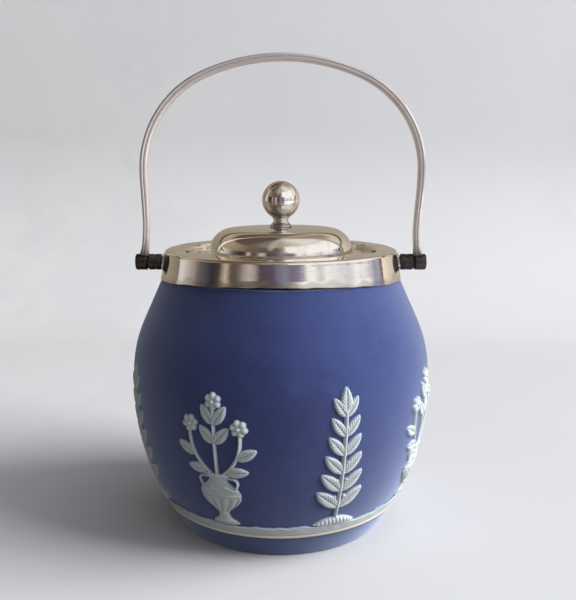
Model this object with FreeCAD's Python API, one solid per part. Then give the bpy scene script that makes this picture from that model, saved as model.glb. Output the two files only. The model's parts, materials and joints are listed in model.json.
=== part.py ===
"""Biscuit jar: a barrel pot with white relief, a plated rim collar, a lift-off lid and a swinging bail.

Millimetres, +Z up. The origin is on the pot's axis, at the table. The front faces -Y, and the bail's
pivots lie along X, one on each side of the collar. The bail is upright and the lid is closed.
"""
import FreeCAD, Part
import math
import os

V = FreeCAD.Vector
UP = V(0, 0, 1)
ORIGIN = V(0, 0, 0)

# Making
cut_margin = 1.0
match_tolerance = 0.01
straight_bulge = 0.01

# Barrel pot
belly_radius = 67.0
belly_height = 69.0
foot_radius = 47.2
shoulder_arc_radius = 56.0
shoulder_slope_deg = 24.6
ledge_rise = 43.6
ledge_width = 4.63
ledge_round = 0.8
neck_height = 7.2
neck_wall = 6.0
wall_thickness = 5.0
floor_height = 6.5
floor_corner_radius = 8.0
foot_ring_width = 6.0
foot_recess_depth = 1.8
foot_edge_round = 1.0

# White relief on the pot
slip_joint = 0.03
bead_low = 10.9
bead_height = 1.9
bead_depth = 0.9
ground_height = 4.6
ground_depth = 1.0
relief_low_depth = 1.2
relief_high_depth = 2.0
relief_spacing_deg = 45.0
relief_repeats = 4
vase_turn_deg = -22.5
vase_foot_width = 12.0
vase_bowl_width = 18.0
vase_lip_width = 13.0
vase_neck_width = 7.5
vase_stem_width = 4.0
vase_ankle_height = 5.3
vase_waist_height = 14.9
vase_throat_height = 20.9
vase_height = 24.0
vase_foot_bulge = 1.0
vase_bowl_bulge = 2.2
vase_shoulder_bulge = 1.5
vase_lip_bulge = 0.45
bloom_radius = 3.7
spray_height = 58.0
spray_spread = 10.5
spray_root_spread = 1.5
spray_root_depth = 1.0
side_spray_height = 48.0
stalk_width = 1.9
stalk_bulge = 3.5
spray_leaf_length = 9.5
spray_leaf_width = 4.6
middle_leaf_share = 0.45
middle_leaf_lean_deg = 42.0
upper_leaf_share = 0.7
upper_leaf_lean_deg = 34.0
side_low_leaf_share = 0.12
side_low_leaf_lean_deg = 84.0
side_high_leaf_share = 0.45
side_high_leaf_lean_deg = 62.0
laurel_height = 60.0
laurel_leaf_length = 13.0
laurel_leaf_width = 5.4
laurel_leaf_pairs = 6
laurel_leaf_shrink = 0.28
laurel_low_lean_deg = 50.0
laurel_high_lean_deg = 34.0
laurel_tip_leaf_length = 10.4
laurel_tip_leaf_width = 4.9
laurel_bare_stem = 4.5
laurel_top_gap = 1.5
laurel_mound_width = 19.0
laurel_mound_height = 3.6

# Rim collar, spun from one plated sheet
sheet = 1.0
collar_set_back = 0.63
collar_rise = 3.2
collar_corner_radius = 1.6
collar_mouth_margin = 0.5
collar_lip_round = 1.6
skirt_front_rise = 1.1
skirt_side_drop = 2.8
skirt_edge_thickness = 0.4
skirt_clearance = 0.12
bedding_gap = 0.05
bed_lift = 1.25

# Lid seat
seat_set_back = 1.5
throat_clearance = 0.8
throat_depth = 9.0

# Lid
brim_clearance = 0.5
brim_width = 9.9
lid_rise = 12.8
lid_crown_radius = 400.0
lid_shoulder_radius = 10.0
lid_foot_round = 0.8
lid_land_drop = 0.1
locating_ring_clearance = 0.6
locating_ring_depth = 5.0

# Knob and what holds it
knob_radius = 8.4
knob_neck_height = 4.73
knob_foot_radius = 5.0
knob_foot_thickness = 0.9
knob_waist_radius = 3.3
knob_cup_radius = 4.2
knob_spigot_radius = 2.0
knob_spigot_length = 3.5
stud_radius = 2.0
stud_length = 6.2
stud_hole_clearance = 0.2
thread_clearance = 0.05
washer_radius = 5.5
washer_thickness = 0.8
nut_across_flats = 8.0
nut_height = 3.2

# Pivots
pivot_drop = 6.3
barrel_radius = 3.6
barrel_edge_round = 0.5
pad_thickness = 0.6
pad_width = 10.0
pad_below = 2.2
pad_above = 4.0
pad_corner_radius = 1.6
lug_stand_off = 2.0
lug_length = 5.7
lug_neck_radius = 2.9
pivot_washer_radius = 2.9
pivot_washer_thickness = 0.5
pivot_side_gap = 0.05
eye_length = 5.2
pin_radius = 1.5
pin_drive_fit = 0.01
pin_running_fit = 0.08
pin_root_depth = 4.6
pin_head_radius = 2.4
pin_head_depth = 1.0
pin_head_round = 0.6
pin_head_clearance = 0.3

# Bail
bail_rise = 89.6
bail_root_inset = 0.5
bail_waist_inset = 1.7
bail_waist_rise = 15.5
bail_shoulder_inset = 0.66
bail_crown_radius = 85.6
bail_shoulder_radius = 45.1
bail_thickness = 3.3
bail_depth = 5.6
bail_leg_thickness = 2.7
bail_leg_depth = 5.0
bail_root_thickness = 4.8
bail_root_depth = 6.0
bail_root_sink = 0.5
bail_flare_length = 7.7
bail_flare_power = 1.5
bail_leg_sections = 13
bail_reed_height = 0.55
bail_inner_round = 0.6
bail_cheek_inset = 0.1

# Worked out from the sizes above
barrel_arc_radius = (belly_height ** 2 + (belly_radius - foot_radius) ** 2) / (
    2 * (belly_radius - foot_radius))
shoulder_slope = math.radians(shoulder_slope_deg)
ledge_height = belly_height + ledge_rise
arc_top_radius = belly_radius - shoulder_arc_radius * (1 - math.cos(shoulder_slope))
ledge_radius = arc_top_radius - (
    ledge_rise - shoulder_arc_radius * math.sin(shoulder_slope)) * math.tan(shoulder_slope)
neck_radius = ledge_radius - ledge_width
neck_bore_radius = neck_radius - neck_wall
neck_top_height = ledge_height + neck_height
ground_low = bead_low + bead_height
ground_top = ground_low + ground_height
seat_height = neck_top_height + sheet
seat_outer_radius = neck_radius - seat_set_back
throat_radius = neck_bore_radius - throat_clearance - sheet
collar_radius = ledge_radius - collar_set_back
collar_top_height = seat_height + collar_rise
collar_mouth_radius = neck_bore_radius + collar_mouth_margin
skirt_front_height = ledge_height + skirt_front_rise
skirt_side_height = skirt_front_height - skirt_side_drop
brim_radius = collar_mouth_radius - brim_clearance
brim_top_height = seat_height + sheet
lid_wall_radius = brim_radius - brim_width
lid_apex_height = seat_height + lid_rise
knob_cup_height = lid_apex_height - lid_land_drop + knob_neck_height
knob_centre_height = knob_cup_height + math.sqrt(knob_radius ** 2 - knob_cup_radius ** 2)
pivot_height = collar_top_height - pivot_drop
lug_start = collar_radius + lug_stand_off
lug_end = lug_start + lug_length
eye_start = lug_end + pivot_washer_thickness + 2 * pivot_side_gap
eye_end = eye_start + eye_length
bail_root_half_width = (eye_start + eye_end) / 2 - bail_root_inset
bail_waist_half_width = bail_root_half_width - bail_waist_inset
bail_half_width = bail_root_half_width - bail_shoulder_inset


def line(start, end):
    """Straight edge between two (radius, height) points."""
    return Part.LineSegment(V(start[0], 0, start[1]), V(end[0], 0, end[1])).toShape()


def on_circle(centre, radius, angle):
    """Point on a circle, the angle taken from the outward direction."""
    return (centre[0] + radius * math.cos(angle), centre[1] + radius * math.sin(angle))


def arc(centre, radius, start, end):
    """Arc about a centre between two angles, and its two end points."""
    first = on_circle(centre, radius, start)
    middle = on_circle(centre, radius, (start + end) / 2)
    last = on_circle(centre, radius, end)
    edge = Part.Arc(V(first[0], 0, first[1]), V(middle[0], 0, middle[1]), V(last[0], 0, last[1])).toShape()
    return edge, first, last


def turned(edges):
    """Solid of revolution of one closed outline about the pot's axis, given as edges in any order."""
    wire = Part.Wire(Part.__sortEdges__(edges))
    solid = Part.Face(wire).revolve(ORIGIN, UP, 360)
    return solid if solid.Volume > 0 else solid.reversed()


def polygon(points):
    """Edges of a closed outline of straight sides."""
    return [line(points[i], points[(i + 1) % len(points)]) for i in range(len(points))]


def ring(inner, outer, low, high):
    """Plain ring of rectangular section."""
    return turned(polygon([(inner, low), (outer, low), (outer, high), (inner, high)]))


def barrel_outline(offset, low, high):
    """Pot's outer curve moved outward by offset, between two heights: its edges and its two ends."""
    edges = []
    lower_radius = barrel_arc_radius + offset
    lower_centre = (belly_radius - barrel_arc_radius, belly_height)
    upper_radius = shoulder_arc_radius + offset
    upper_centre = (belly_radius - shoulder_arc_radius, belly_height)
    arc_top = belly_height + upper_radius * math.sin(shoulder_slope)
    start = None
    end = None
    if low < belly_height:
        angles = [math.asin((min(z, belly_height) - belly_height) / lower_radius) for z in (low, high)]
        edge, start, end = arc(lower_centre, lower_radius, angles[0], angles[1])
        edges.append(edge)
    if high > belly_height:
        ends = (max(low, belly_height), min(high, arc_top))
        angles = [math.asin((z - belly_height) / upper_radius) for z in ends]
        edge, first, end = arc(upper_centre, upper_radius, angles[0], angles[1])
        edges.append(edge)
        start = start or first
    if high > arc_top:
        top = (end[0] - (high - arc_top) * math.tan(shoulder_slope), high)
        edges.append(line(end, top))
        end = top
    return edges, start, end


def barrel_shell(inner, outer, low, high):
    """Ring of even thickness that hugs the pot's outer curve between two heights."""
    inside, inside_low, inside_high = barrel_outline(inner, low, high)
    outside, outside_low, outside_high = barrel_outline(outer, low, high)
    return turned(inside + outside + [line(inside_low, outside_low), line(inside_high, outside_high)])


def barrel_pot():
    """The stoneware pot: barrel wall, hollow inside, foot ring, ledge and neck."""
    outside, foot, ledge = barrel_outline(0, 0, ledge_height)
    recess_radius = foot_radius - foot_ring_width
    outer_edges = outside + [
        line(foot, (recess_radius, 0)),
        line((recess_radius, 0), (recess_radius, foot_recess_depth)),
        line((recess_radius, foot_recess_depth), (0, foot_recess_depth)),
        line((0, foot_recess_depth), (0, neck_top_height)),
        line((0, neck_top_height), (neck_radius, neck_top_height)),
        line((neck_radius, neck_top_height), (neck_radius, ledge_height)),
        line((neck_radius, ledge_height), ledge)]
    body = turned(outer_edges)
    inner_top = ledge_height - wall_thickness
    inside, floor_edge, shoulder = barrel_outline(-wall_thickness, floor_height, inner_top)
    hollow = turned(inside + [
        line(floor_edge, (0, floor_height)),
        line((0, floor_height), (0, inner_top)),
        line((0, inner_top), shoulder)])
    hollow = rounded(hollow, floor_corner_radius, lambda box: box.ZMax < floor_height + match_tolerance)
    bore = ring_bore(neck_bore_radius, inner_top - wall_thickness, neck_top_height)
    pot = body.cut(hollow.fuse(bore))
    pot = rounded(pot, foot_edge_round, lambda box: box.ZMax < match_tolerance)
    return rounded(pot, ledge_round, lambda box: abs(box.ZMax - ledge_height) < match_tolerance
                   and abs(box.XMax - ledge_radius) < match_tolerance)


def ring_bore(radius, low, high):
    """Cylinder about the pot's axis between two heights."""
    return Part.makeCylinder(radius, high - low, V(0, 0, low))


def rounded(solid, radius, wanted):
    """Solid with the closed edges that the test accepts rounded over."""
    edges = [edge for edge in solid.Edges if wanted(edge.BoundBox) and edge.isClosed()]
    return solid.makeFillet(radius, edges)


def foot_bead():
    """Thin cream line turned round the foot, under the white ground."""
    inside, low, high = barrel_outline(slip_joint, bead_low, ground_low)
    middle = ((low[0] + high[0]) / 2 + bead_depth, (low[1] + high[1]) / 2)
    crown = Part.Arc(V(low[0], 0, low[1]), V(middle[0], 0, middle[1]), V(high[0], 0, high[1])).toShape()
    return turned(inside + [crown])


def ground_band():
    """Applied white strip that the relief stands on."""
    return barrel_shell(slip_joint, slip_joint + ground_depth, ground_low, ground_top)


def flat_face(edges):
    """Face of one closed outline in the upright plane."""
    return Part.Face(Part.Wire(Part.__sortEdges__(edges)))


def bow(start, end, bulge):
    """Arc from one point to another that stands out from the chord by bulge, to the left of its run."""
    run = (end[0] - start[0], end[1] - start[1])
    length = math.hypot(run[0], run[1])
    middle_x = (start[0] + end[0]) / 2 - run[1] / length * bulge
    middle_z = (start[1] + end[1]) / 2 + run[0] / length * bulge
    middle = (middle_x, middle_z)
    return Part.Arc(V(start[0], 0, start[1]), V(middle[0], 0, middle[1]), V(end[0], 0, end[1])).toShape()


def leaf(root, angle, length, width):
    """Pointed leaf of two arcs, growing from its root at an angle from upright."""
    tip = (root[0] + length * math.sin(angle), root[1] + length * math.cos(angle))
    return flat_face([bow(root, tip, width / 2), bow(tip, root, width / 2)])


def bloom(centre, radius):
    """Round open flower."""
    circle = Part.Circle(V(centre[0], 0, centre[1]), V(0, -1, 0), radius)
    return Part.Face(Part.Wire(circle.toShape()))


def stalk(start, end, bulge, width):
    """Bent stalk of even width, widest in the middle of its bend."""
    side = width / 2
    feet = [(start[0] - side, start[1]), (start[0] + side, start[1])]
    heads = [(end[0] - side, end[1]), (end[0] + side, end[1])]
    return flat_face([bow(feet[0], heads[0], bulge), line(heads[0], heads[1]),
                      bow(heads[1], feet[1], -bulge), line(feet[1], feet[0])])


def along_bow(start, end, bulge, share):
    """Point at a share of the way along a shallow bow, taken as a parabola."""
    run = (end[0] - start[0], end[1] - start[1])
    length = math.hypot(run[0], run[1])
    out = 4 * bulge * share * (1 - share)
    return (start[0] + run[0] * share - run[1] / length * out, start[1] + run[1] * share + run[0] / length * out)


def even_outline(points, bulges):
    """Face with the same curved side left and right, through (half width, height) points going up."""
    edges = [line((-points[0][0], points[0][1]), points[0]), line(points[-1], (-points[-1][0], points[-1][1]))]
    for start, end, bulge in zip(points, points[1:], bulges):
        edges.append(bow(start, end, bulge))
        edges.append(bow((-start[0], start[1]), (-end[0], end[1]), -bulge))
    return flat_face(edges)


def vase_outline():
    """Footed vase: foot, stem, bowl, neck and lip, standing on the ground strip."""
    foot = (vase_foot_width / 2, ground_top)
    ankle = (vase_stem_width / 2, ground_top + vase_ankle_height)
    waist = (vase_bowl_width / 2, ground_top + vase_waist_height)
    throat = (vase_neck_width / 2, ground_top + vase_throat_height)
    lip = (vase_lip_width / 2, ground_top + vase_height)
    bulges = [vase_foot_bulge, -vase_bowl_bulge, -vase_shoulder_bulge, vase_lip_bulge]
    return even_outline([foot, ankle, waist, throat, lip], bulges)


def vase_spray():
    """Low relief over the vase: three stalks with leaves, fanned out."""
    base = ground_top + vase_height - spray_root_depth
    top = ground_top + spray_height - bloom_radius
    faces = [stalk((0, base), (0, top), straight_bulge, stalk_width)]
    for side in (-1, 1):
        start = (side * spray_root_spread, base)
        head = (side * spray_spread, ground_top + side_spray_height - bloom_radius)
        faces.append(stalk(start, head, -side * stalk_bulge, stalk_width))
        middle_root = (0, base + middle_leaf_share * (top - base))
        upper_root = (0, base + upper_leaf_share * (top - base))
        low_root = along_bow(start, head, -side * stalk_bulge, side_low_leaf_share)
        high_root = along_bow(start, head, -side * stalk_bulge, side_high_leaf_share)
        faces.append(spray_leaf(middle_root, side * middle_leaf_lean_deg))
        faces.append(spray_leaf(upper_root, side * upper_leaf_lean_deg))
        faces.append(spray_leaf(low_root, side * side_low_leaf_lean_deg))
        faces.append(spray_leaf(high_root, side * side_high_leaf_lean_deg))
    return faces


def spray_leaf(root, lean_deg):
    """One leaf of the spray, growing from its root at a lean from upright."""
    return leaf(root, math.radians(lean_deg), spray_leaf_length, spray_leaf_width)


def vase_blooms():
    """Higher relief: the vase itself and the flowers at the ends of the stalks."""
    faces = [vase_outline(), bloom((0, ground_top + spray_height - bloom_radius), bloom_radius)]
    for side in (-1, 1):
        faces.append(bloom((side * spray_spread, ground_top + side_spray_height - bloom_radius), bloom_radius))
    return faces


def laurel_leaves():
    """Low relief of the laurel: stem, mound and paired leaves that shrink towards the tip."""
    top = ground_top + laurel_height
    tip_root = top - laurel_tip_leaf_length
    stem_root = (0, ground_top + laurel_mound_height / 2)
    faces = [stalk(stem_root, (0, tip_root + stalk_width / 2), straight_bulge, stalk_width)]
    faces.append(leaf((0, tip_root), 0, laurel_tip_leaf_length, laurel_tip_leaf_width))
    first = ground_top + laurel_mound_height + laurel_bare_stem
    for pair in range(laurel_leaf_pairs):
        share = pair / (laurel_leaf_pairs - 1)
        height = first + share * (tip_root - first - laurel_top_gap)
        size = 1 - laurel_leaf_shrink * share
        lean = math.radians(laurel_low_lean_deg + (laurel_high_lean_deg - laurel_low_lean_deg) * share)
        for side in (-1, 1):
            faces.append(leaf((0, height), side * lean, laurel_leaf_length * size, laurel_leaf_width * size))
    return faces


def laurel_mound():
    """Small mound that the laurel grows from."""
    half = laurel_mound_width / 2
    return [flat_face([bow((-half, ground_top), (half, ground_top), laurel_mound_height),
                       line((half, ground_top), (-half, ground_top))])]


def pressed(faces, depth):
    """Outlines pushed out to the pot's curve, as one sprig of even thickness."""
    reach = belly_radius + depth + cut_margin
    blocks = [face.extrude(V(0, -reach, 0)) for face in faces]
    block = blocks[0].multiFuse(blocks[1:]) if len(blocks) > 1 else blocks[0]
    top = ground_top + max(laurel_height, spray_height) + cut_margin
    shell = barrel_shell(slip_joint, slip_joint + depth, ground_top, top)
    return block.common(shell)


def sprigs(low_faces, high_faces, turn_deg):
    """One applied sprig of two depths, repeated round the pot."""
    sprig = pressed(low_faces, relief_low_depth).fuse(pressed(high_faces, relief_high_depth)).removeSplitter()
    solids = []
    for repeat in range(relief_repeats):
        copy = sprig.copy()
        copy.rotate(ORIGIN, UP, turn_deg + repeat * 2 * relief_spacing_deg)
        solids.extend(copy.Solids)
    return Part.makeCompound(solids)


def collar_corner():
    """Centre of the collar's rounded top corner."""
    return (collar_radius - collar_corner_radius, collar_top_height - collar_corner_radius)


def skirt_foot(outside):
    """Lowest point of the collar's wall, on its outer or its inner face."""
    inner = shoulder_radius(skirt_side_height) + skirt_clearance
    return (inner + (skirt_edge_thickness if outside else 0), skirt_side_height)


def wall_tilt(foot, radius):
    """Angle at which the wall, rising from its foot, runs into the corner's arc without a break."""
    corner = collar_corner()
    across = foot[0] - corner[0]
    up = foot[1] - corner[1]
    return math.atan2(up, across) + math.acos(radius / math.hypot(across, up))


def wall_radius(height):
    """Radius of the wall's outer face, which widens evenly towards its foot."""
    foot = skirt_foot(True)
    tilt = wall_tilt(foot, collar_corner_radius)
    return foot[0] - (height - foot[1]) * math.tan(tilt)


def wall_block(offset, low, high):
    """Solid frustum whose side lies outside the collar's wall by offset."""
    return turned(polygon([(0, low), (wall_radius(low) + offset, low), (wall_radius(high) + offset, high),
                           (0, high)]))


def collar_section():
    """Closed outline of the collar's sheet: widening wall, tight corner, flange and lip."""
    corner = collar_corner()
    lip = (collar_mouth_radius + collar_lip_round, collar_top_height - collar_lip_round)
    outer_foot = skirt_foot(True)
    inner_foot = skirt_foot(False)
    inner_radius = collar_corner_radius - sheet
    outer_tilt = wall_tilt(outer_foot, collar_corner_radius)
    inner_tilt = wall_tilt(inner_foot, inner_radius)
    outer_corner, wall_top, flange_start = arc(corner, collar_corner_radius, outer_tilt, math.pi / 2)
    inner_corner, inner_wall_top, inner_flange = arc(corner, inner_radius, inner_tilt, math.pi / 2)
    outer_lip, lip_top, lip_side = arc(lip, collar_lip_round, math.pi / 2, math.pi)
    inner_lip, inner_lip_top, inner_lip_side = arc(lip, collar_lip_round - sheet, math.pi / 2, math.pi)
    return [outer_corner, inner_corner, outer_lip, inner_lip,
            line(outer_foot, wall_top), line(flange_start, lip_top),
            line(lip_side, (collar_mouth_radius, seat_height)),
            line((collar_mouth_radius, seat_height), (collar_mouth_radius + sheet, seat_height)),
            line((collar_mouth_radius + sheet, seat_height), inner_lip_side),
            line(inner_lip_top, inner_flange), line(inner_wall_top, inner_foot),
            line(inner_foot, outer_foot)]


def shoulder_radius(height):
    """Outer radius of the pot at a height on its shoulder."""
    return barrel_outline(0, belly_height, height)[2][0]


def rim_collar():
    """Spun collar, its skirt dipping lower at the two sides than at the front and back."""
    collar = turned(collar_section())
    reach = belly_radius + cut_margin
    trim_radius = collar_radius ** 2 / (2 * skirt_side_drop)
    trim_foot = V(0, -reach, skirt_front_height - trim_radius)
    trim = Part.makeCylinder(trim_radius, 2 * reach, trim_foot, V(0, 1, 0))
    return collar.cut(trim)


def plaster_bed():
    """Plaster that fills the collar round the pot's neck."""
    inner = neck_radius + bedding_gap
    outer = collar_radius - sheet - bedding_gap
    return ring(inner, outer, ledge_height + bed_lift, neck_top_height)


def lid_seat_ring():
    """Ledge that the lid rests on, with a throat that lines the neck."""
    low = seat_height - throat_depth
    throat_outer = throat_radius + sheet
    under = seat_height - sheet
    return turned(polygon([(throat_radius, low), (throat_outer, low), (throat_outer, under),
                           (seat_outer_radius, under), (seat_outer_radius, seat_height),
                           (throat_radius, seat_height)]))


def dome_outline(inset):
    """Lid's dome curve moved inward by inset: its edges, its foot and its flat centre land."""
    crown_radius = lid_crown_radius - inset
    crown_centre = (0, lid_apex_height - lid_crown_radius)
    shoulder = lid_shoulder_radius - inset
    shoulder_x = lid_wall_radius - lid_shoulder_radius
    lift = math.sqrt((lid_crown_radius - lid_shoulder_radius) ** 2 - shoulder_x ** 2)
    shoulder_centre = (shoulder_x, crown_centre[1] + lift)
    join = math.atan2(lift, shoulder_x)
    land_height = lid_apex_height - inset - lid_land_drop
    land = math.asin((land_height - crown_centre[1]) / crown_radius)
    wall_arc, foot, _ = arc(shoulder_centre, shoulder, 0, join)
    crown_arc, _, land_edge = arc(crown_centre, crown_radius, join, land)
    return [wall_arc, crown_arc], foot, land_edge


def lid_cover():
    """Spun lid: flat brim, near upright wall, rounded shoulder and low crown, with a stud hole."""
    outside, wall_top, land = dome_outline(0)
    inside, inner_wall_top, inner_land = dome_outline(sheet)
    hole = stud_radius + stud_hole_clearance
    inner_wall = lid_wall_radius - sheet
    lid = turned(outside + inside + [
        line(land, (hole, land[1])), line((hole, land[1]), (hole, inner_land[1])),
        line((hole, inner_land[1]), inner_land),
        line(wall_top, (lid_wall_radius, brim_top_height)),
        line((lid_wall_radius, brim_top_height), (brim_radius, brim_top_height)),
        line((brim_radius, brim_top_height), (brim_radius, seat_height)),
        line((brim_radius, seat_height), (inner_wall, seat_height)),
        line((inner_wall, seat_height), inner_wall_top)])
    return rounded(lid, lid_foot_round, lambda box: abs(box.ZMax - brim_top_height) < match_tolerance
                   and abs(box.XMax - lid_wall_radius) < match_tolerance)


def lid_locating_ring():
    """Ring soldered under the brim that keeps the lid central in the throat."""
    outer = throat_radius - locating_ring_clearance
    return ring(outer - sheet, outer, seat_height - locating_ring_depth, seat_height)


def land_height(inset):
    """Height of the flat land at the lid's centre, outside or inside."""
    return lid_apex_height - inset - lid_land_drop


def knob_neck():
    """Turned neck: foot disc, waist, cup under the ball, spigot above and stud below."""
    foot = land_height(0)
    start = V(knob_foot_radius, 0, foot + knob_foot_thickness)
    end = V(knob_cup_radius, 0, knob_cup_height)
    middle = V(knob_waist_radius, 0, (start.z + end.z) / 2)
    spigot = knob_cup_height + knob_spigot_length
    low = foot - stud_length
    return turned([
        Part.Arc(start, middle, end).toShape(),
        line((knob_cup_radius, knob_cup_height), (knob_spigot_radius, knob_cup_height)),
        line((knob_spigot_radius, knob_cup_height), (knob_spigot_radius, spigot)),
        line((knob_spigot_radius, spigot), (0, spigot)),
        line((0, spigot), (0, low)),
        line((0, low), (stud_radius, low)),
        line((stud_radius, low), (stud_radius, foot)),
        line((stud_radius, foot), (knob_foot_radius, foot)),
        line((knob_foot_radius, foot), (knob_foot_radius, start.z))])


def knob_ball():
    """Ball with a flat underside and a socket for the neck's spigot."""
    ball = Part.makeSphere(knob_radius, V(0, 0, knob_centre_height))
    below = ring_bore(knob_radius, knob_centre_height - knob_radius - cut_margin, knob_cup_height)
    socket_top = knob_cup_height + knob_spigot_length + bedding_gap
    socket = ring_bore(knob_spigot_radius + bedding_gap, knob_cup_height - cut_margin, socket_top)
    return ball.cut(below.fuse(socket))


def knob_washer():
    """Washer under the lid's centre."""
    top = land_height(sheet)
    return ring(stud_radius + 2 * thread_clearance, washer_radius, top - washer_thickness, top)


def knob_nut():
    """Hexagon nut that draws the knob down."""
    top = land_height(sheet) - washer_thickness
    corner = nut_across_flats / 2 / math.cos(math.pi / 6)
    angles = [i * math.pi / 3 for i in range(7)]
    low = top - nut_height
    points = [V(corner * math.cos(angle), corner * math.sin(angle), low) for angle in angles]
    prism = Part.Face(Part.makePolygon(points)).extrude(V(0, 0, nut_height))
    return prism.cut(ring_bore(stud_radius + thread_clearance, low - cut_margin, top + cut_margin))


def along_pivot(radius, start, end):
    """Cylinder on the pivot line, on the right, between two distances from the pot's axis."""
    return Part.makeCylinder(radius, end - start, V(start, 0, pivot_height), V(1, 0, 0))


def lug_pad():
    """Saddle plate soldered to the collar's wall, behind the lug."""
    height = pad_below + pad_above
    low = pivot_height - pad_below
    box = Part.makeBox(collar_radius, pad_width, height, V(collar_radius / 2, -pad_width / 2, low))
    corners = [edge for edge in box.Edges if abs(edge.BoundBox.XLength - collar_radius) < match_tolerance]
    plate = box.makeFillet(pad_corner_radius, corners)
    high = low + height
    saddle = wall_block(bedding_gap + pad_thickness, low, high).cut(wall_block(bedding_gap, low, high))
    return plate.common(saddle)


def round_ended(cylinder, radius):
    """Cylinder with both its end edges rounded over."""
    return cylinder.makeFillet(radius, [edge for edge in cylinder.Edges if edge.isClosed()])


def lug():
    """Fixed half of the pivot: short neck and barrel, bored for the pin."""
    barrel = round_ended(along_pivot(barrel_radius, lug_start, lug_end), barrel_edge_round)
    neck = along_pivot(lug_neck_radius, collar_radius, lug_start + cut_margin)
    saddle = wall_block(bedding_gap + pad_thickness, pivot_height - barrel_radius, pivot_height + barrel_radius)
    bore = along_pivot(pin_radius + pin_drive_fit, lug_end - pin_root_depth, lug_end + cut_margin)
    return barrel.fuse(neck.cut(saddle)).cut(bore)


def pivot_washer():
    """Thin washer between the lug and the bail's eye."""
    start = lug_end + pivot_side_gap
    end = start + pivot_washer_thickness
    bore = along_pivot(pin_radius + pin_running_fit, start - cut_margin, end + cut_margin)
    return along_pivot(pivot_washer_radius, start, end).cut(bore)


def pivot_pin():
    """Pin driven into the lug, its head sunk in the end of the eye."""
    shank = along_pivot(pin_radius, lug_end - pin_root_depth, eye_end - pin_head_depth / 2)
    head = along_pivot(pin_head_radius, eye_end - pin_head_depth, eye_end)
    rim = [edge for edge in head.Edges if edge.BoundBox.XMin > eye_end - match_tolerance]
    return shank.fuse(head.makeFillet(pin_head_round, rim))


def bail_eye():
    """Moving half of the pivot: barrel bored for the pin, with a sunk seat for its head."""
    barrel = round_ended(along_pivot(barrel_radius, eye_start, eye_end), barrel_edge_round)
    bore = along_pivot(pin_radius + pin_running_fit, eye_start - cut_margin, eye_end + cut_margin)
    seat_start = eye_end - pin_head_depth - pin_head_clearance
    seat = along_pivot(pin_head_radius + pin_head_clearance, seat_start, eye_end + cut_margin)
    return barrel.cut(bore.fuse(seat))


def bail_section(x, rise, lean, thickness, depth):
    """Closed section across the bail: flat inside, round sides and three reeds outside.

    The section's middle is at (x, rise) above the pivot, and lean is the angle of the outward
    direction above the horizontal.
    """
    outward = V(math.cos(lean), 0, math.sin(lean))
    centre = V(x, 0, pivot_height + rise)
    reed = depth / 3
    outer = thickness / 2 - bail_reed_height

    def at(out, across):
        return centre + outward * out + V(0, across, 0)

    inner = (-thickness / 2, depth / 2 - bail_inner_round)
    cheek = (-thickness / 4, depth / 2 - bail_cheek_inset)
    edges = [Part.LineSegment(at(inner[0], inner[1]), at(inner[0], -inner[1])).toShape(),
             Part.Arc(at(inner[0], -inner[1]), at(cheek[0], -cheek[1]), at(outer, -depth / 2)).toShape()]
    for number in (-1, 0, 1):
        middle = number * reed
        edges.append(Part.Arc(at(outer, middle - reed / 2), at(thickness / 2, middle),
                              at(outer, middle + reed / 2)).toShape())
    edges.append(Part.Arc(at(outer, depth / 2), at(cheek[0], cheek[1]), at(inner[0], inner[1])).toShape())
    return Part.Wire(edges)


def bail_shoulder_centre():
    """Centre of the bail's shoulder arc, as distance from the middle and rise above the pivot."""
    across = bail_half_width - bail_shoulder_radius
    gap = bail_crown_radius - bail_shoulder_radius
    return across, bail_rise - bail_crown_radius + math.sqrt(gap ** 2 - across ** 2)


def smooth(share):
    """Smooth step from nought to one."""
    return 3 * share ** 2 - 2 * share ** 3


def bail_leg_x(rise):
    """Distance of the leg's middle line from the jar's middle: drawn in to a waist, then out to the eye."""
    top = bail_shoulder_centre()[1]
    if rise > bail_waist_rise:
        share = (rise - bail_waist_rise) / (top - bail_waist_rise)
        return bail_waist_half_width + (bail_half_width - bail_waist_half_width) * smooth(share)
    share = (bail_waist_rise - rise) / bail_waist_rise
    return bail_waist_half_width + (bail_root_half_width - bail_waist_half_width) * share ** 2


def bail_leg():
    """Right leg, from the shoulder arc's foot down to the flared root on the eye."""
    top = bail_shoulder_centre()[1]
    sections = []
    for number in range(bail_leg_sections):
        rise = bail_root_sink + number * (top - bail_root_sink) / (bail_leg_sections - 1)
        flare = max(0.0, 1 - rise / bail_flare_length) ** bail_flare_power
        swell = smooth(max(0.0, (rise - bail_waist_rise) / (top - bail_waist_rise)))
        thickness = bail_leg_thickness + (bail_root_thickness - bail_leg_thickness) * flare
        thickness += (bail_thickness - bail_leg_thickness) * swell
        depth = bail_leg_depth + (bail_root_depth - bail_leg_depth) * flare
        depth += (bail_depth - bail_leg_depth) * swell
        side_step = bail_leg_x(rise + match_tolerance) - bail_leg_x(rise - match_tolerance)
        lean = -math.atan2(side_step, 2 * match_tolerance)
        lean = 0.0 if number == bail_leg_sections - 1 else lean
        sections.append(bail_section(bail_leg_x(rise), rise, lean, thickness, depth))
    return Part.makeLoft(sections, True, False)


def bail_bow():
    """Upper bow of the bail: crown arc with a tighter shoulder arc each side, one steady section."""
    across, rise = bail_shoulder_centre()
    crown_centre = (0, pivot_height + bail_rise - bail_crown_radius)
    turn = math.atan2(rise - (bail_rise - bail_crown_radius), across)
    right, _, _ = arc((across, pivot_height + rise), bail_shoulder_radius, 0, turn)
    crown, _, _ = arc(crown_centre, bail_crown_radius, turn, math.pi - turn)
    left, _, _ = arc((-across, pivot_height + rise), bail_shoulder_radius, math.pi - turn, math.pi)
    path = Part.Wire([right, crown, left])
    section = bail_section(bail_half_width, rise, 0, bail_thickness, bail_depth)
    return path.makePipeShell([section], True, False, 2)


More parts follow.
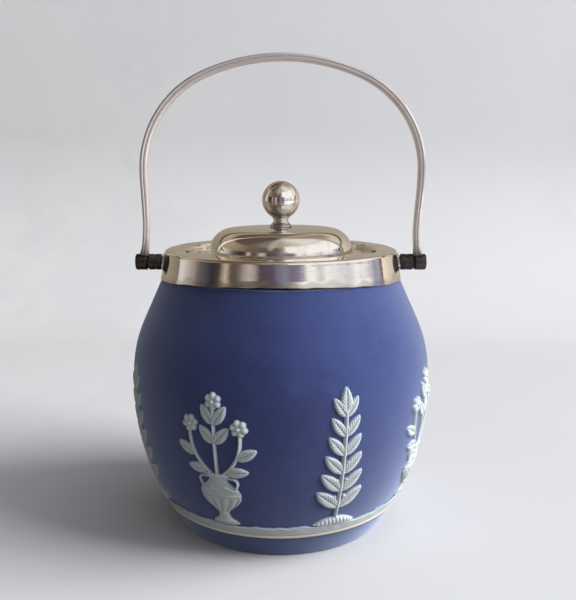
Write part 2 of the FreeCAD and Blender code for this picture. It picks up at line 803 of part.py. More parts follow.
def bail_arch():
    """The whole bail: bow and two legs, cut to sit on the eyes."""
    leg = bail_leg()
    arch = bail_bow().multiFuse([leg, leg.mirror(ORIGIN, V(1, 0, 0))])
    seat = along_pivot(barrel_radius + bedding_gap, eye_start - bail_root_thickness,
                       eye_end + bail_root_thickness)
    return arch.cut(seat.fuse(seat.mirror(ORIGIN, V(1, 0, 0))))


def save(name, shape):
    """Write one piece and say what it is."""
    solids = len(shape.Solids)
    print(f"{name}: {solids} solids, {shape.Volume / 1000:.2f} cm3, valid {shape.isValid()}")
    shape.exportStep(f"parts/{name}.step")


def main():
    """Build every piece in its place."""
    os.makedirs("parts", exist_ok=True)
    save("barrel_pot", barrel_pot())
    save("foot_bead", foot_bead())
    save("ground_band", ground_band())
    save("relief_vases", sprigs(vase_spray(), vase_blooms(), vase_turn_deg))
    save("relief_laurels", sprigs(laurel_leaves(), laurel_mound(), vase_turn_deg + relief_spacing_deg))
    save("rim_collar", rim_collar())
    save("plaster_bed", plaster_bed())
    save("lid_seat_ring", lid_seat_ring())
    save("lid_cover", lid_cover())
    save("lid_locating_ring", lid_locating_ring())
    save("knob_neck", knob_neck())
    save("knob_ball", knob_ball())
    save("knob_washer", knob_washer())
    save("knob_nut", knob_nut())
    save("bail_arch", bail_arch())
    makers = {"lug_pad": lug_pad, "lug": lug, "pivot_washer": pivot_washer, "pivot_pin": pivot_pin}
    makers["bail_eye"] = bail_eye
    for name, maker in makers.items():
        piece = maker()
        save(f"{name}_right", piece)
        save(f"{name}_left", piece.mirror(ORIGIN, V(1, 0, 0)))


main()
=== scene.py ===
"""Looks of a stoneware biscuit jar: blue barrel pot, white relief, plated collar, lid and swinging bail.

All sizes are in millimetres and are turned into metres where a mesh is made. The jar's axis is Z, the
table is at zero, the front faces -Y and the bail's pivots lie along X.
"""
from __future__ import annotations

import json
import logging
import math
from dataclasses import dataclass, field
from enum import Enum
from typing import Callable

import bpy
import numpy as np
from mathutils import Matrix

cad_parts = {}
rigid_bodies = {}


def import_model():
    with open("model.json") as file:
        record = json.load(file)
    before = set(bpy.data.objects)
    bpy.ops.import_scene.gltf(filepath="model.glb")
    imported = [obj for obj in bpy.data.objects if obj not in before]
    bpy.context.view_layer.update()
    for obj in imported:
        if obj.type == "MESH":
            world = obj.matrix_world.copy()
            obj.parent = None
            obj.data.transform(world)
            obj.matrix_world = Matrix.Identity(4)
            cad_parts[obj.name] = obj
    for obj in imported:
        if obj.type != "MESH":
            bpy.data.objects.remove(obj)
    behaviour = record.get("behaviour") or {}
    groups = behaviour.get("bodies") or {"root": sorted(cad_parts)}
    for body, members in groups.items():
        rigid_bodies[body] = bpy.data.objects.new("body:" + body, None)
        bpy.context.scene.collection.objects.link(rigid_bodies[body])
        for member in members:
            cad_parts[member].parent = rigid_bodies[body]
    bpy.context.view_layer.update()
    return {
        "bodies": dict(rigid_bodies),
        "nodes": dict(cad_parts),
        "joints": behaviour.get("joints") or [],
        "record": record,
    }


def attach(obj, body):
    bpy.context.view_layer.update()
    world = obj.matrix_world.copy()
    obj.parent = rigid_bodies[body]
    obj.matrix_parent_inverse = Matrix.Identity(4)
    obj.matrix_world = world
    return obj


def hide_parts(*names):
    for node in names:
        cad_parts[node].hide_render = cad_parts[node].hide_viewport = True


Array = np.ndarray
Pair = tuple[float, float]
Triple = tuple[float, float, float]
Tone = tuple[int, int, int]
Stops = tuple[tuple[float, Tone], ...]
Bend = Callable[[Array, Array, Array], tuple[Array, Array]]
Values = Callable[[Array], dict[str, Array]]
Socket = bpy.types.NodeSocket
Material = bpy.types.Material
Object = bpy.types.Object
GRAIN_DEPTH = 0.00006
MM = 0.001
SIDES = {"right": 1.0, "left": -1.0}
log = logging.getLogger("biscuit_jar")


class Body(Enum):
    """The jar's three moving bodies."""

    JAR = "jar"
    LID = "lid"
    BAIL = "bail"


class Slot(Enum):
    """Names of the finishes."""

    BLUE = "blue_stoneware"
    WHITE = "white_relief"
    CREAM = "cream_line"
    SILVER = "silver_plate"
    BAIL = "silver_bail"
    TARNISH = "tarnished_plate"


# Mesh building


def grid_faces(rows: int, columns: int, close_rows: bool, close_columns: bool) -> Array:
    """Four-sided faces of a grid of points.

    Args:
        rows: Number of points along the first parameter.
        columns: Number of points along the second parameter.
        close_rows: Whether the last row joins the first.
        close_columns: Whether the last column joins the first.

    Returns:
        Point numbers, four to a face.
    """
    index = np.arange(rows * columns).reshape(rows, columns)
    if close_rows:
        index = np.vstack([index, index[:1]])
    if close_columns:
        index = np.hstack([index, index[:, :1]])
    corners = (index[:-1, :-1], index[:-1, 1:], index[1:, 1:], index[1:, :-1])
    return np.stack([corner.ravel() for corner in corners], axis=1)


def weld(points: Array, faces: Array) -> tuple[Array, Array, Array]:
    """Join points that lie on each other, as at a pole.

    Args:
        points: Corner positions.
        faces: Point numbers, four to a face.

    Returns:
        The points kept, the faces on them, and which of the old points were kept.
    """
    key = np.round(points / 1e-4).astype(np.int64)
    _, kept, place = np.unique(key, axis=0, return_index=True, return_inverse=True)
    return points[kept], place.ravel()[faces], kept


def make_piece(name: str, points: Array, faces: Array, values: dict[str, Array] | None = None) -> Object:
    """A smooth mesh object whose faces point outward.

    The enclosed volume is a sixth of the sum of the triple products of each face's corners; where it
    comes out negative, every face is turned over.

    Args:
        name: The piece's name.
        points: Corner positions in millimetres.
        faces: Point numbers, four to a face.
        values: Numbers stored on the points, by name.

    Returns:
        The new object, linked into the scene.
    """
    points, faces, kept = weld(np.asarray(points, float).reshape(-1, 3), faces)
    a, b, c, d = (points[faces[:, k]] for k in range(4))
    volume = np.einsum("ij,ij->", a, np.cross(b, c)) + np.einsum("ij,ij->", a, np.cross(c, d))
    if volume < 0:
        faces = faces[:, ::-1]
    following = np.roll(faces, -1, axis=1)
    distinct = (faces != following)
    whole = distinct.all(axis=1)
    folded = faces[distinct.sum(axis=1) == 3]
    three = folded[folded != np.roll(folded, -1, axis=1)].reshape(-1, 3)
    mesh = bpy.data.meshes.new(name)
    mesh.from_pydata((points * MM).tolist(), [], faces[whole].tolist() + three.tolist())
    mesh.polygons.foreach_set("use_smooth", np.ones(len(mesh.polygons), bool))
    for key, value in (values or {}).items():
        layer = mesh.attributes.new(key, "FLOAT", "POINT")
        layer.data.foreach_set("value", np.asarray(value, np.float32).ravel()[kept])
    mesh.validate()
    piece = bpy.data.objects.new(name, mesh)
    bpy.context.collection.objects.link(piece)
    return piece


def rounded_path(corners: list[Triple], closed: bool, step: float) -> Array:
    """Outline through corners, each turned with its own radius.

    At a corner with half turning angle t, the arc starts radius * tan(t) before the corner; its centre
    lies on the corner's bisector. Straight runs are divided evenly, no longer than the step.

    Args:
        corners: Distance from the axis, height and corner radius of each corner.
        closed: Whether the last corner joins the first.
        step: Longest distance between points on a straight run.

    Returns:
        Points of the outline, two numbers each.
    """
    spots = np.array([corner[:2] for corner in corners], float)
    ends: list[Array] = []
    for number, (spot, (_, _, radius)) in enumerate(zip(spots, corners)):
        at_end = not closed and number in (0, len(corners) - 1)
        before = spots[number - 1] - spot
        after = spots[(number + 1) % len(spots)] - spot
        if at_end or radius <= 0:
            ends.append(spot[None])
            continue
        before = before / np.linalg.norm(before)
        after = after / np.linalg.norm(after)
        half = math.acos(np.clip(-before @ after, -1, 1)) / 2
        bisector = (before + after) / np.linalg.norm(before + after)
        centre = spot + bisector * radius / math.cos(half)
        first = spot + before * radius * math.tan(half) - centre
        last = spot + after * radius * math.tan(half) - centre
        count = max(4, int(half * 2 / math.radians(9)))
        share = np.linspace(0, 1, count + 1)[:, None]
        arm = first * np.sin((1 - share) * 2 * half) + last * np.sin(share * 2 * half)
        ends.append(centre + arm / math.sin(2 * half))
    runs = []
    for number, piece in enumerate(ends):
        runs.append(piece)
        if not closed and number == len(ends) - 1:
            break
        goal = ends[(number + 1) % len(ends)][0]
        length = np.linalg.norm(goal - piece[-1])
        inner = np.linspace(0, 1, max(2, int(length / step) + 1))[1:-1, None]
        runs.append(piece[-1] + (goal - piece[-1]) * inner)
    return np.vstack(runs)


def revolve(outline: Array, columns: int, bend: Bend | None = None) -> Array:
    """Points of an outline carried round the jar's axis.

    A point is (r cos a, r sin a, z). The bend function may change r and z with the angle.

    Args:
        outline: Distance from the axis and height of each point.
        columns: Number of steps round the axis.
        bend: Gives new distances and heights from distances, heights and angles.

    Returns:
        Grid of points, one row for each outline point.
    """
    angle = np.linspace(0, 2 * math.pi, columns, endpoint=False)[None]
    radius = np.repeat(outline[:, :1], columns, axis=1)
    height = np.repeat(outline[:, 1:], columns, axis=1)
    if bend:
        radius, height = bend(radius, height, angle)
    return np.stack([radius * np.cos(angle), radius * np.sin(angle), height], axis=2)


def turned_piece(name: str, outline: Array, closed: bool, columns: int = 256,
                 bend: Bend | None = None,
                 values: Values | None = None) -> Object:
    """A piece turned about the jar's axis.

    Args:
        name: The piece's name.
        outline: Distance from the axis and height of each point.
        closed: Whether the outline closes on itself; otherwise it starts and ends on the axis.
        columns: Number of steps round the axis.
        bend: Changes distances and heights with the angle.
        values: Gives numbers to store on the points, from the grid of points.

    Returns:
        The new object.
    """
    points = revolve(outline, columns, bend)
    faces = grid_faces(points.shape[0], columns, closed, True)
    return make_piece(name, points, faces, values(points) if values else None)


def across_piece(name: str, outline: Array, side: float, height: float, closed: bool,
                 columns: int = 72) -> Object:
    """A piece turned about the bail's pivot line.

    The outline's first number is the distance from the pivot line, its second the distance from the
    jar's axis; a point is (side * second, r cos a, height + r sin a).

    Args:
        name: The piece's name.
        outline: Radius about the pivot line and place along it.
        side: Plus one on the right, minus one on the left.
        height: Height of the pivot line.
        closed: Whether the outline closes on itself.
        columns: Number of steps round the pivot line.

    Returns:
        The new object.
    """
    points = revolve(outline, columns)
    moved = np.stack([side * points[..., 2], points[..., 0], height + points[..., 1]], axis=2)
    return make_piece(name, moved, grid_faces(points.shape[0], columns, closed, True))


def waves(angle: Array, amounts: dict[int, float], seed: int) -> Array:
    """Sum of sines round the axis: each key is the number of waves, each value its height."""
    phases = np.random.default_rng(seed).uniform(0, 2 * math.pi, len(amounts))
    return sum(size * np.sin(count * angle + phase) for (count, size), phase in zip(amounts.items(), phases))


def seat(piece: Object, body: Body, nodes: list[str], material: Material) -> None:
    """Put a new piece on its body, give it its finish and let it stand for its solids.

    Args:
        piece: The new object.
        body: The body that it moves with.
        nodes: The solids that it stands for.
        material: Its material.
    """
    piece.data.materials.append(material)
    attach(piece, body.value)
    if nodes:
        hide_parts(*nodes)
    log.info("%s: %d points on body %s", piece.name, len(piece.data.vertices), body.value)


def dress(frame: dict, node: str, material: Material) -> None:
    """Give a solid that stays in view its material."""
    slots = frame["nodes"][node].data.materials
    slots.clear()
    slots.append(material)
    log.info("%s: dressed as %s", node, material.name)


# Materials


@dataclass
class Nodes:
    """Short way to lay out shader nodes in one tree."""

    tree: bpy.types.NodeTree

    def add(self, kind: str, inputs: dict | None = None, **settings: object) -> bpy.types.Node:
        """New node, with its settings, and its inputs set or linked.

        Args:
            kind: Blender's name for the node.
            inputs: Values or sockets, by input name or number.
            settings: Properties of the node itself.

        Returns:
            The new node.
        """
        node = self.tree.nodes.new(kind)
        for key, value in settings.items():
            setattr(node, key, value)
        for key, value in (inputs or {}).items():
            if isinstance(value, Socket):
                self.tree.links.new(value, node.inputs[key])
            else:
                node.inputs[key].default_value = value
        return node

    def noise(self, place: Socket, scale: float | Socket, detail: float = 3.0,
              rough: float = 0.5) -> Socket:
        """Noise at a scale, from nought to one."""
        return self.add("ShaderNodeTexNoise", {"Vector": place, "Scale": scale, "Detail": detail,
                                               "Roughness": rough}).outputs["Fac"]

    def remap(self, value: Socket, low: float, high: float, new_low: float = 0.0,
              new_high: float = 1.0) -> Socket:
        """A value moved from one range to another, smoothly and within its ends."""
        inputs = {"Value": value, "From Min": low, "From Max": high, "To Min": new_low, "To Max": new_high}
        return self.add("ShaderNodeMapRange", inputs, interpolation_type="SMOOTHSTEP").outputs[0]

    def maths(self, way: str, first: object, second: object = 0.0) -> Socket:
        """Two values joined by one sum."""
        return self.add("ShaderNodeMath", {0: first, 1: second}, operation=way).outputs[0]

    def times(self, first: object, second: object) -> Socket:
        """Product of two values."""
        return self.maths("MULTIPLY", first, second)

    def plus(self, first: object, second: object) -> Socket:
        """Sum of two values."""
        return self.maths("ADD", first, second)

    def mix(self, share: object, first: object, second: object) -> Socket:
        """Two colours mixed by a share."""
        return self.add("ShaderNodeMix", {0: share, 6: first, 7: second}, data_type="RGBA").outputs[2]


def colour(red: int, green: int, blue: int) -> tuple[float, float, float, float]:
    """Display colour from 0 to 255, as the linear colour that shaders take."""
    parts = [value / 255 for value in (red, green, blue)]
    linear = [part / 12.92 if part <= 0.04045 else ((part + 0.055) / 1.055) ** 2.4 for part in parts]
    return (*linear, 1.0)


def effect_group(name: str, sockets_in: dict[str, float], sockets_out: list[str],
                 build: Callable[[Nodes, dict, Socket], dict]) -> bpy.types.NodeTree:
    """A shared effect as a node group with named inputs and outputs.

    Args:
        name: The group's name.
        sockets_in: Number inputs and their usual values.
        sockets_out: Number outputs.
        build: Lays out the nodes, from the inputs and the place on the piece, and gives the outputs.

    Returns:
        The node group.
    """
    tree = bpy.data.node_groups.new(name, "ShaderNodeTree")
    for label, value in sockets_in.items():
        socket = tree.interface.new_socket(label, in_out="INPUT", socket_type="NodeSocketFloat")
        socket.default_value = value
    for label in sockets_out:
        tree.interface.new_socket(label, in_out="OUTPUT", socket_type="NodeSocketFloat")
    nodes = Nodes(tree)
    start = nodes.add("NodeGroupInput")
    place = nodes.add("ShaderNodeTexCoord").outputs["Object"]
    results = build(nodes, start.outputs, place)
    nodes.add("NodeGroupOutput", results)
    return tree


def patina_nodes(nodes: Nodes, given: dict, place: Socket) -> dict:
    """Blotches: broad noise broken by finer noise, cut off at a threshold.

    Args:
        nodes: The group's nodes.
        given: The group's inputs.
        place: Place on the piece.

    Returns:
        The mask and the broad noise.
    """
    broad = nodes.noise(place, given["Scale"], 4.0, 0.62)
    fine = nodes.noise(place, nodes.times(given["Scale"], 6.5), 3.0, 0.7)
    blend = nodes.plus(nodes.times(broad, 0.72), nodes.times(fine, 0.28))
    lifted = nodes.maths("SUBTRACT", blend, given["Threshold"])
    mask = nodes.remap(lifted, -0.06, 0.12)
    return {"Mask": mask, "Broad": broad}


def grain_nodes(nodes: Nodes, given: dict, place: Socket) -> dict:
    """Fine grain of unglazed clay: two noises, one about four times finer than the other.

    Args:
        nodes: The group's nodes.
        given: The group's inputs.
        place: Place on the piece.

    Returns:
        The height and the specks.
    """
    coarse = nodes.noise(place, given["Scale"], 5.0, 0.65)
    fine = nodes.noise(place, nodes.times(given["Scale"], 4.3), 2.0, 0.6)
    height = nodes.plus(nodes.times(coarse, 0.6), nodes.times(fine, 0.4))
    return {"Height": height, "Speck": nodes.remap(fine, 0.62, 0.76)}


def hairline_nodes(nodes: Nodes, given: dict, place: Socket) -> dict:
    """Hairline scratches from wiping: noise drawn out along two slanting directions.

    Args:
        nodes: The group's nodes.
        given: The group's inputs.
        place: Place on the piece.

    Returns:
        The lines' height and mask.
    """
    total = None
    for turn, squeeze in ((0.5, 34.0), (-0.9, 46.0)):
        mapped = nodes.add("ShaderNodeMapping", {"Vector": place, "Rotation": (0.25, turn, turn * 0.7),
                                                 "Scale": (1.0, 1.0, squeeze)}).outputs[0]
        lines = nodes.remap(nodes.noise(mapped, given["Scale"], 2.0, 0.55), 0.64, 0.72)
        total = lines if total is None else nodes.maths("MAXIMUM", total, lines)
    return {"Height": nodes.times(total, -1.0), "Mask": total}


def build_effects() -> dict[str, bpy.types.NodeTree]:
    """The effects that several finishes share, each built once."""
    return {
        "patina": effect_group("patina", {"Scale": 40.0, "Threshold": 0.5}, ["Mask", "Broad"], patina_nodes),
        "grain": effect_group("clay_grain", {"Scale": 900.0}, ["Height", "Speck"], grain_nodes),
        "hairlines": effect_group("hairlines", {"Scale": 60.0}, ["Height", "Mask"], hairline_nodes),
    }


@dataclass
class Workshop:
    """Starts each material and places the shared effects in it."""

    effects: dict[str, bpy.types.NodeTree] = field(default_factory=dict)

    def start(self, name: str) -> tuple[Material, Nodes, bpy.types.Node]:
        """New material with an empty tree but for its shader.

        Args:
            name: The material's name.

        Returns:
            The material, its nodes and its shader node.
        """
        material = bpy.data.materials.new(name)
        material.use_nodes = True
        material.node_tree.nodes.clear()
        nodes = Nodes(material.node_tree)
        shader = nodes.add("ShaderNodeBsdfPrincipled")
        nodes.add("ShaderNodeOutputMaterial", {"Surface": shader.outputs[0]})
        return material, nodes, shader

    def effect(self, nodes: Nodes, name: str, **values: float) -> bpy.types.Node:
        """One shared effect, placed in a material with its own values."""
        inputs = {key.capitalize(): value for key, value in values.items()}
        return nodes.add("ShaderNodeGroup", inputs, node_tree=self.effects[name])

    @staticmethod
    def bump(nodes: Nodes, shader: bpy.types.Node, height: Socket, strength: float,
             distance: float) -> None:
        """Feed a height to the shader's normal."""
        node = nodes.add("ShaderNodeBump", {"Height": height, "Strength": strength, "Distance": distance})
        nodes.tree.links.new(node.outputs[0], shader.inputs["Normal"])


@dataclass(frozen=True)
class Stoneware:
    """Unglazed clay body: matte, faintly mottled, with a fine grain."""

    name: str
    tone: Tone
    dark: Tone
    pale: Tone
    roughness: float = 0.62
    grain: float = 0.35
    sheen: float = 0.0
    sheen_tint: Tone = (255, 255, 255)
    gloss: float = 0.4
    specks: float = 0.25
    unevenness: float = 0.07

    def make(self, shop: Workshop) -> Material:
        """Lay out the material's nodes.

        Args:
            shop: Where the shared effects are kept.

        Returns:
            The material.
        """
        material, nodes, shader = shop.start(self.name)
        broad = shop.effect(nodes, "patina", scale=24.0, threshold=0.5)
        smudge = shop.effect(nodes, "patina", scale=75.0, threshold=0.58)
        grain = shop.effect(nodes, "grain", scale=1500.0)
        tone = nodes.mix(broad.outputs["Mask"], colour(*self.tone), colour(*self.dark))
        tone = nodes.mix(nodes.times(smudge.outputs["Mask"], 0.35), tone, colour(*self.pale))
        tone = nodes.mix(nodes.times(grain.outputs["Speck"], self.specks), tone, colour(*self.pale))
        nodes.tree.links.new(tone, shader.inputs["Base Color"])
        low, high = self.roughness - self.unevenness, self.roughness + self.unevenness
        rough = nodes.remap(smudge.outputs["Broad"], 0.3, 0.7, low, high)
        nodes.tree.links.new(rough, shader.inputs["Roughness"])
        shader.inputs["Sheen Weight"].default_value = self.sheen
        shader.inputs["Sheen Roughness"].default_value = 0.45
        shader.inputs["Specular IOR Level"].default_value = self.gloss
        shader.inputs["Sheen Tint"].default_value = colour(*self.sheen_tint)
        shop.bump(nodes, shader, grain.outputs["Height"], self.grain, GRAIN_DEPTH)
        return material


@dataclass(frozen=True)
class ReliefWhite:
    """White applied clay: chalky, bluish where it is thin, with painted shade in the hollows."""

    name: str = "white_relief"

    def make(self, shop: Workshop) -> Material:
        """Lay out the material's nodes, driven by the relief height stored on the points.

        Args:
            shop: Where the shared effects are kept.

        Returns:
            The material.
        """
        material, nodes, shader = shop.start(self.name)
        height = nodes.add("ShaderNodeAttribute", attribute_name="relief").outputs["Fac"]
        hollow = nodes.add("ShaderNodeAttribute", attribute_name="hollow").outputs["Fac"]
        grain = shop.effect(nodes, "grain", scale=1300.0)
        smudge = shop.effect(nodes, "patina", scale=120.0, threshold=0.56)
        thin = nodes.remap(height, 0.1, 0.85, 1.0, 0.0)
        tone = nodes.mix(nodes.times(thin, 0.75), colour(187, 193, 193), colour(138, 160, 181))
        # painted shade: points in the relief's hollows are tinted a darker blue-grey
        tone = nodes.mix(nodes.times(hollow, 0.55), tone, colour(150, 168, 184))
        tone = nodes.mix(nodes.times(smudge.outputs["Mask"], 0.25), tone, colour(208, 207, 196))
        nodes.tree.links.new(tone, shader.inputs["Base Color"])
        rough = nodes.remap(smudge.outputs["Broad"], 0.3, 0.7, 0.5, 0.68)
        nodes.tree.links.new(rough, shader.inputs["Roughness"])
        shader.inputs["Subsurface Weight"].default_value = 0.12
        shader.inputs["Subsurface Radius"].default_value = (0.0012, 0.0014, 0.0016)
        shader.inputs["Subsurface Scale"].default_value = 0.6
        shop.bump(nodes, shader, grain.outputs["Height"], 0.35, GRAIN_DEPTH)
        return material


@dataclass(frozen=True)
class Plate:
    """Silver plate: bright, faintly yellowed, smudged and scratched, with brown tarnish in blotches."""

    name: str
    bright: Tone = (246, 242, 235)
    tarnish: Tone = (158, 136, 108)
    spread: float = 0.6
    strength: float = 0.26
    smooth: float = 0.025
    dull: float = 0.11
    grime: Tone = (50, 40, 34)
    metal: float = 1.0

    def make(self, shop: Workshop) -> Material:
        """Lay out the material's nodes.

        Args:
            shop: Where the shared effects are kept.

        Returns:
            The material.
        """
        material, nodes, shader = shop.start(self.name)
        shader.inputs["Metallic"].default_value = self.metal
        patina = shop.effect(nodes, "patina", scale=55.0, threshold=self.spread)
        spots = shop.effect(nodes, "patina", scale=420.0, threshold=0.66)
        lines = shop.effect(nodes, "hairlines", scale=70.0)
        amount = nodes.times(patina.outputs["Mask"], self.strength)
        tone = nodes.mix(amount, colour(*self.bright), colour(*self.tarnish))
        tone = nodes.mix(nodes.times(spots.outputs["Mask"], 0.5 * self.strength), tone,
                         colour(70, 58, 48))
        # painted shade and grime: a mask stored on the points darkens the plate towards a dark brown and
        # makes it rougher
        shade_and_grime_mask = nodes.add("ShaderNodeAttribute", attribute_name="grime").outputs["Fac"]
        tone = nodes.mix(nodes.times(shade_and_grime_mask, 0.9), tone, colour(*self.grime))
        nodes.tree.links.new(tone, shader.inputs["Base Color"])
        rough = nodes.remap(patina.outputs["Broad"], 0.32, 0.72, self.smooth, self.dull)
        rough = nodes.plus(rough, nodes.times(lines.outputs["Mask"], 0.06))
        rough = nodes.plus(rough, nodes.times(shade_and_grime_mask, 0.3))
        nodes.tree.links.new(rough, shader.inputs["Roughness"])
        place = nodes.add("ShaderNodeTexCoord").outputs["Object"]
        dents = nodes.times(nodes.noise(place, 95.0, 2.0, 0.5), 4.0)
        height = nodes.plus(dents, nodes.times(lines.outputs["Height"], 0.35))
        shop.bump(nodes, shader, height, 0.5, 0.00002)
        return material


# The barrel's curve, shared by the pot and all that lies on it


@dataclass(frozen=True)
class BarrelCurve:
    """The pot's outer curve: a long lower arc, a tighter shoulder arc and a straight run to the neck."""

    belly_radius: float = 67.0
    belly_height: float = 69.0
    foot_radius: float = 47.2
    shoulder_arc: float = 56.0
    slope: float = math.radians(24.6)

    @property
    def lower_arc(self) -> float:
        """Radius of the lower arc, which meets the foot's radius at the table."""
        inset = self.belly_radius - self.foot_radius
        return (self.belly_height ** 2 + inset ** 2) / (2 * inset)

    def radius(self, height: Array | float, offset: Array | float = 0.0) -> Array:
        """Distance from the axis of the curve moved outward by an offset.

        On an arc of radius a about height h, it is centre + sqrt((a + offset)^2 - (z - h)^2); above the
        shoulder arc it falls in a straight line.

        Args:
            height: Heights.
            offset: How far outside the curve.

        Returns:
            Distances from the axis.
        """
        height, offset = np.broadcast_arrays(np.asarray(height, float), np.asarray(offset, float))
        rise = height - self.belly_height
        low = self.lower_arc + offset
        high = self.shoulder_arc + offset
        lower = self.belly_radius - self.lower_arc + np.sqrt(np.maximum(low ** 2 - rise ** 2, 0))
        upper = self.belly_radius - self.shoulder_arc + np.sqrt(np.maximum(high ** 2 - rise ** 2, 0))
        arc_top = high * math.sin(self.slope)
        edge = self.belly_radius - self.shoulder_arc + high * math.cos(self.slope)
        straight = edge - (rise - arc_top) * math.tan(self.slope)
        return np.where(rise < 0, lower, np.where(rise < arc_top, upper, straight))

    def outline(self, low: float, high: float, offset: float, step: float) -> Array:
        """Points of the curve between two heights."""
        heights = np.linspace(low, high, max(2, int(abs(high - low) / step) + 1))
        return np.stack([self.radius(heights, offset), heights], axis=1)


@dataclass
class Pot:
    """The blue stoneware pot."""

    curve: BarrelCurve
    wall: float = 5.0
    floor: float = 6.5
    foot_ring: float = 6.0
    recess: float = 1.8
    ledge: float = 112.6
    neck_radius: float = 48.0
    neck_top: float = 119.8
    bore: float = 42.0
    columns: int = 288

    def build(self, blue: Material) -> None:
        """Turn the pot from one outline: under the foot, up the outside, over the neck, down the inside.

        Args:
            blue: The stoneware's material.
        """
        foot = self.curve.foot_radius
        under = rounded_path([(0, self.recess, 0), (foot - self.foot_ring, self.recess, 0.5),
                              (foot - self.foot_ring, 0, 0.6), (foot, 0, 0.9),
                              (float(self.curve.radius(3.0)), 3.0, 0)], False, 2.5)
        outside = self.curve.outline(4.0, self.ledge - 0.8, 0.0, 1.1)
        shoulder = float(self.curve.radius(self.ledge))
        rim = rounded_path([(float(self.curve.radius(self.ledge - 0.7)), self.ledge - 0.7, 0),
                            (shoulder, self.ledge, 0.3), (self.neck_radius, self.ledge, 0.3),
                            (self.neck_radius, self.neck_top, 0.8), (self.bore, self.neck_top, 0.8),
                            (self.bore, self.ledge - self.wall, 1.5)], False, 1.5)
        inside = self.curve.outline(self.ledge - self.wall - 1.0, self.floor + 9.0, -self.wall, 1.6)
        floor_edge = float(self.curve.radius(self.floor, -self.wall))
        bottom = rounded_path([(float(self.curve.radius(self.floor + 8.5, -self.wall)), self.floor + 8.5, 0),
                               (floor_edge, self.floor, 7.0), (0, self.floor, 0)], False, 2.5)
        outline = np.vstack([under, outside, rim, inside, bottom])
        piece = turned_piece("pot_body", outline, False, self.columns, self.thrown)
        seat(piece, Body.JAR, ["barrel_pot"], blue)

    def thrown(self, radius: Array, height: Array, angle: Array) -> tuple[Array, Array]:
        """Hand-made unevenness: waves of a few hundredths of a millimetre on the barrel's walls."""
        weight = np.clip((height - 14) / 20, 0, 1) * np.clip((108 - height) / 20, 0, 1)
        drift = waves(angle, {2: 0.05, 3: 0.03, 7: 0.015}, 3) - 0.1
        return radius + weight * drift, height


@dataclass
class FootTrim:
    """Cream bead and white ground strip round the foot."""

    curve: BarrelCurve
    bead_low: float = 10.9
    bead_height: float = 1.9
    bead_depth: float = 0.9
    ground_height: float = 4.6
    ground_depth: float = 1.0

    @property
    def ground_low(self) -> float:
        """Height of the ground strip's lower edge."""
        return self.bead_low + self.bead_height

    @property
    def ground_top(self) -> float:
        """Height of the ground strip's upper edge."""
        return self.ground_low + self.ground_height

    def build(self, cream: Material, white: Material) -> None:
        """Make both rings.

        Args:
            cream: The bead's material.
            white: The strip's material.
        """
        turn = np.linspace(0, 2 * math.pi, 40, endpoint=False)
        middle = self.bead_low + self.bead_height / 2
        heights = middle + self.bead_height / 2 * np.sin(turn)
        stand = np.where(np.cos(turn) > 0, self.bead_depth * np.cos(turn), 0.4 * np.cos(turn))
        bead = np.stack([self.curve.radius(heights, stand), heights], axis=1)
        piece = turned_piece("foot_bead_line", bead, True, 360, self.worn)
        seat(piece, Body.JAR, ["foot_bead"], cream)
        piece = turned_piece("ground_strip", self.strip_outline(), True, 720, self.uneven, self.strip_values)
        seat(piece, Body.JAR, ["ground_band"], white)

    def strip_outline(self) -> Array:
        """Rounded strip on the barrel's curve, its back sunk a little into the clay."""
        low, high = self.ground_low, self.ground_top
        flat = rounded_path([(-0.4, low, 0), (self.ground_depth - 0.1, low, 0.6),
                             (self.ground_depth - 0.1, high, 0.7), (-0.4, high, 0)], False, 0.35)
        return np.stack([self.curve.radius(flat[:, 1], flat[:, 0]), flat[:, 1]], axis=1)

    @staticmethod
    def worn(radius: Array, height: Array, angle: Array) -> tuple[Array, Array]:
        """The bead's line wanders by a tenth of a millimetre and is rubbed thin in places."""
        return radius + waves(angle, {5: 0.03, 11: 0.03, 23: 0.02}, 5) - 0.1, height

    def uneven(self, radius: Array, height: Array, angle: Array) -> tuple[Array, Array]:
        """The strip's top edge is lumpy like ground, its face wavy, as pressed by hand.

        Args:
            radius: Distances from the axis.
            height: Heights.
            angle: Angles round the axis.

        Returns:
            The new distances and heights.
        """
        share = np.clip((height - self.ground_low) / self.ground_height, 0, 1)
        lumps = waves(angle, {8: 0.22, 19: 0.16, 37: 0.14, 71: 0.1}, 11) - 0.5
        swell = waves(angle, {13: 0.05, 29: 0.05, 53: 0.05}, 12) * np.sin(share * math.pi)
        return radius + swell, height + share ** 2 * lumps

    def strip_values(self, points: Array) -> dict[str, Array]:
        """Relief height stored for the finish: thin at the strip's edges.

        Args:
            points: Grid of points.

        Returns:
            Numbers for the finish, by name.
        """
        height = points[..., 2]
        edge = np.minimum(height - self.ground_low, self.ground_top - 0.4 - height)
        return {"relief": np.clip(edge / 0.6, 0.25, 1.0), "hollow": np.zeros(height.shape)}


# Relief sprigs


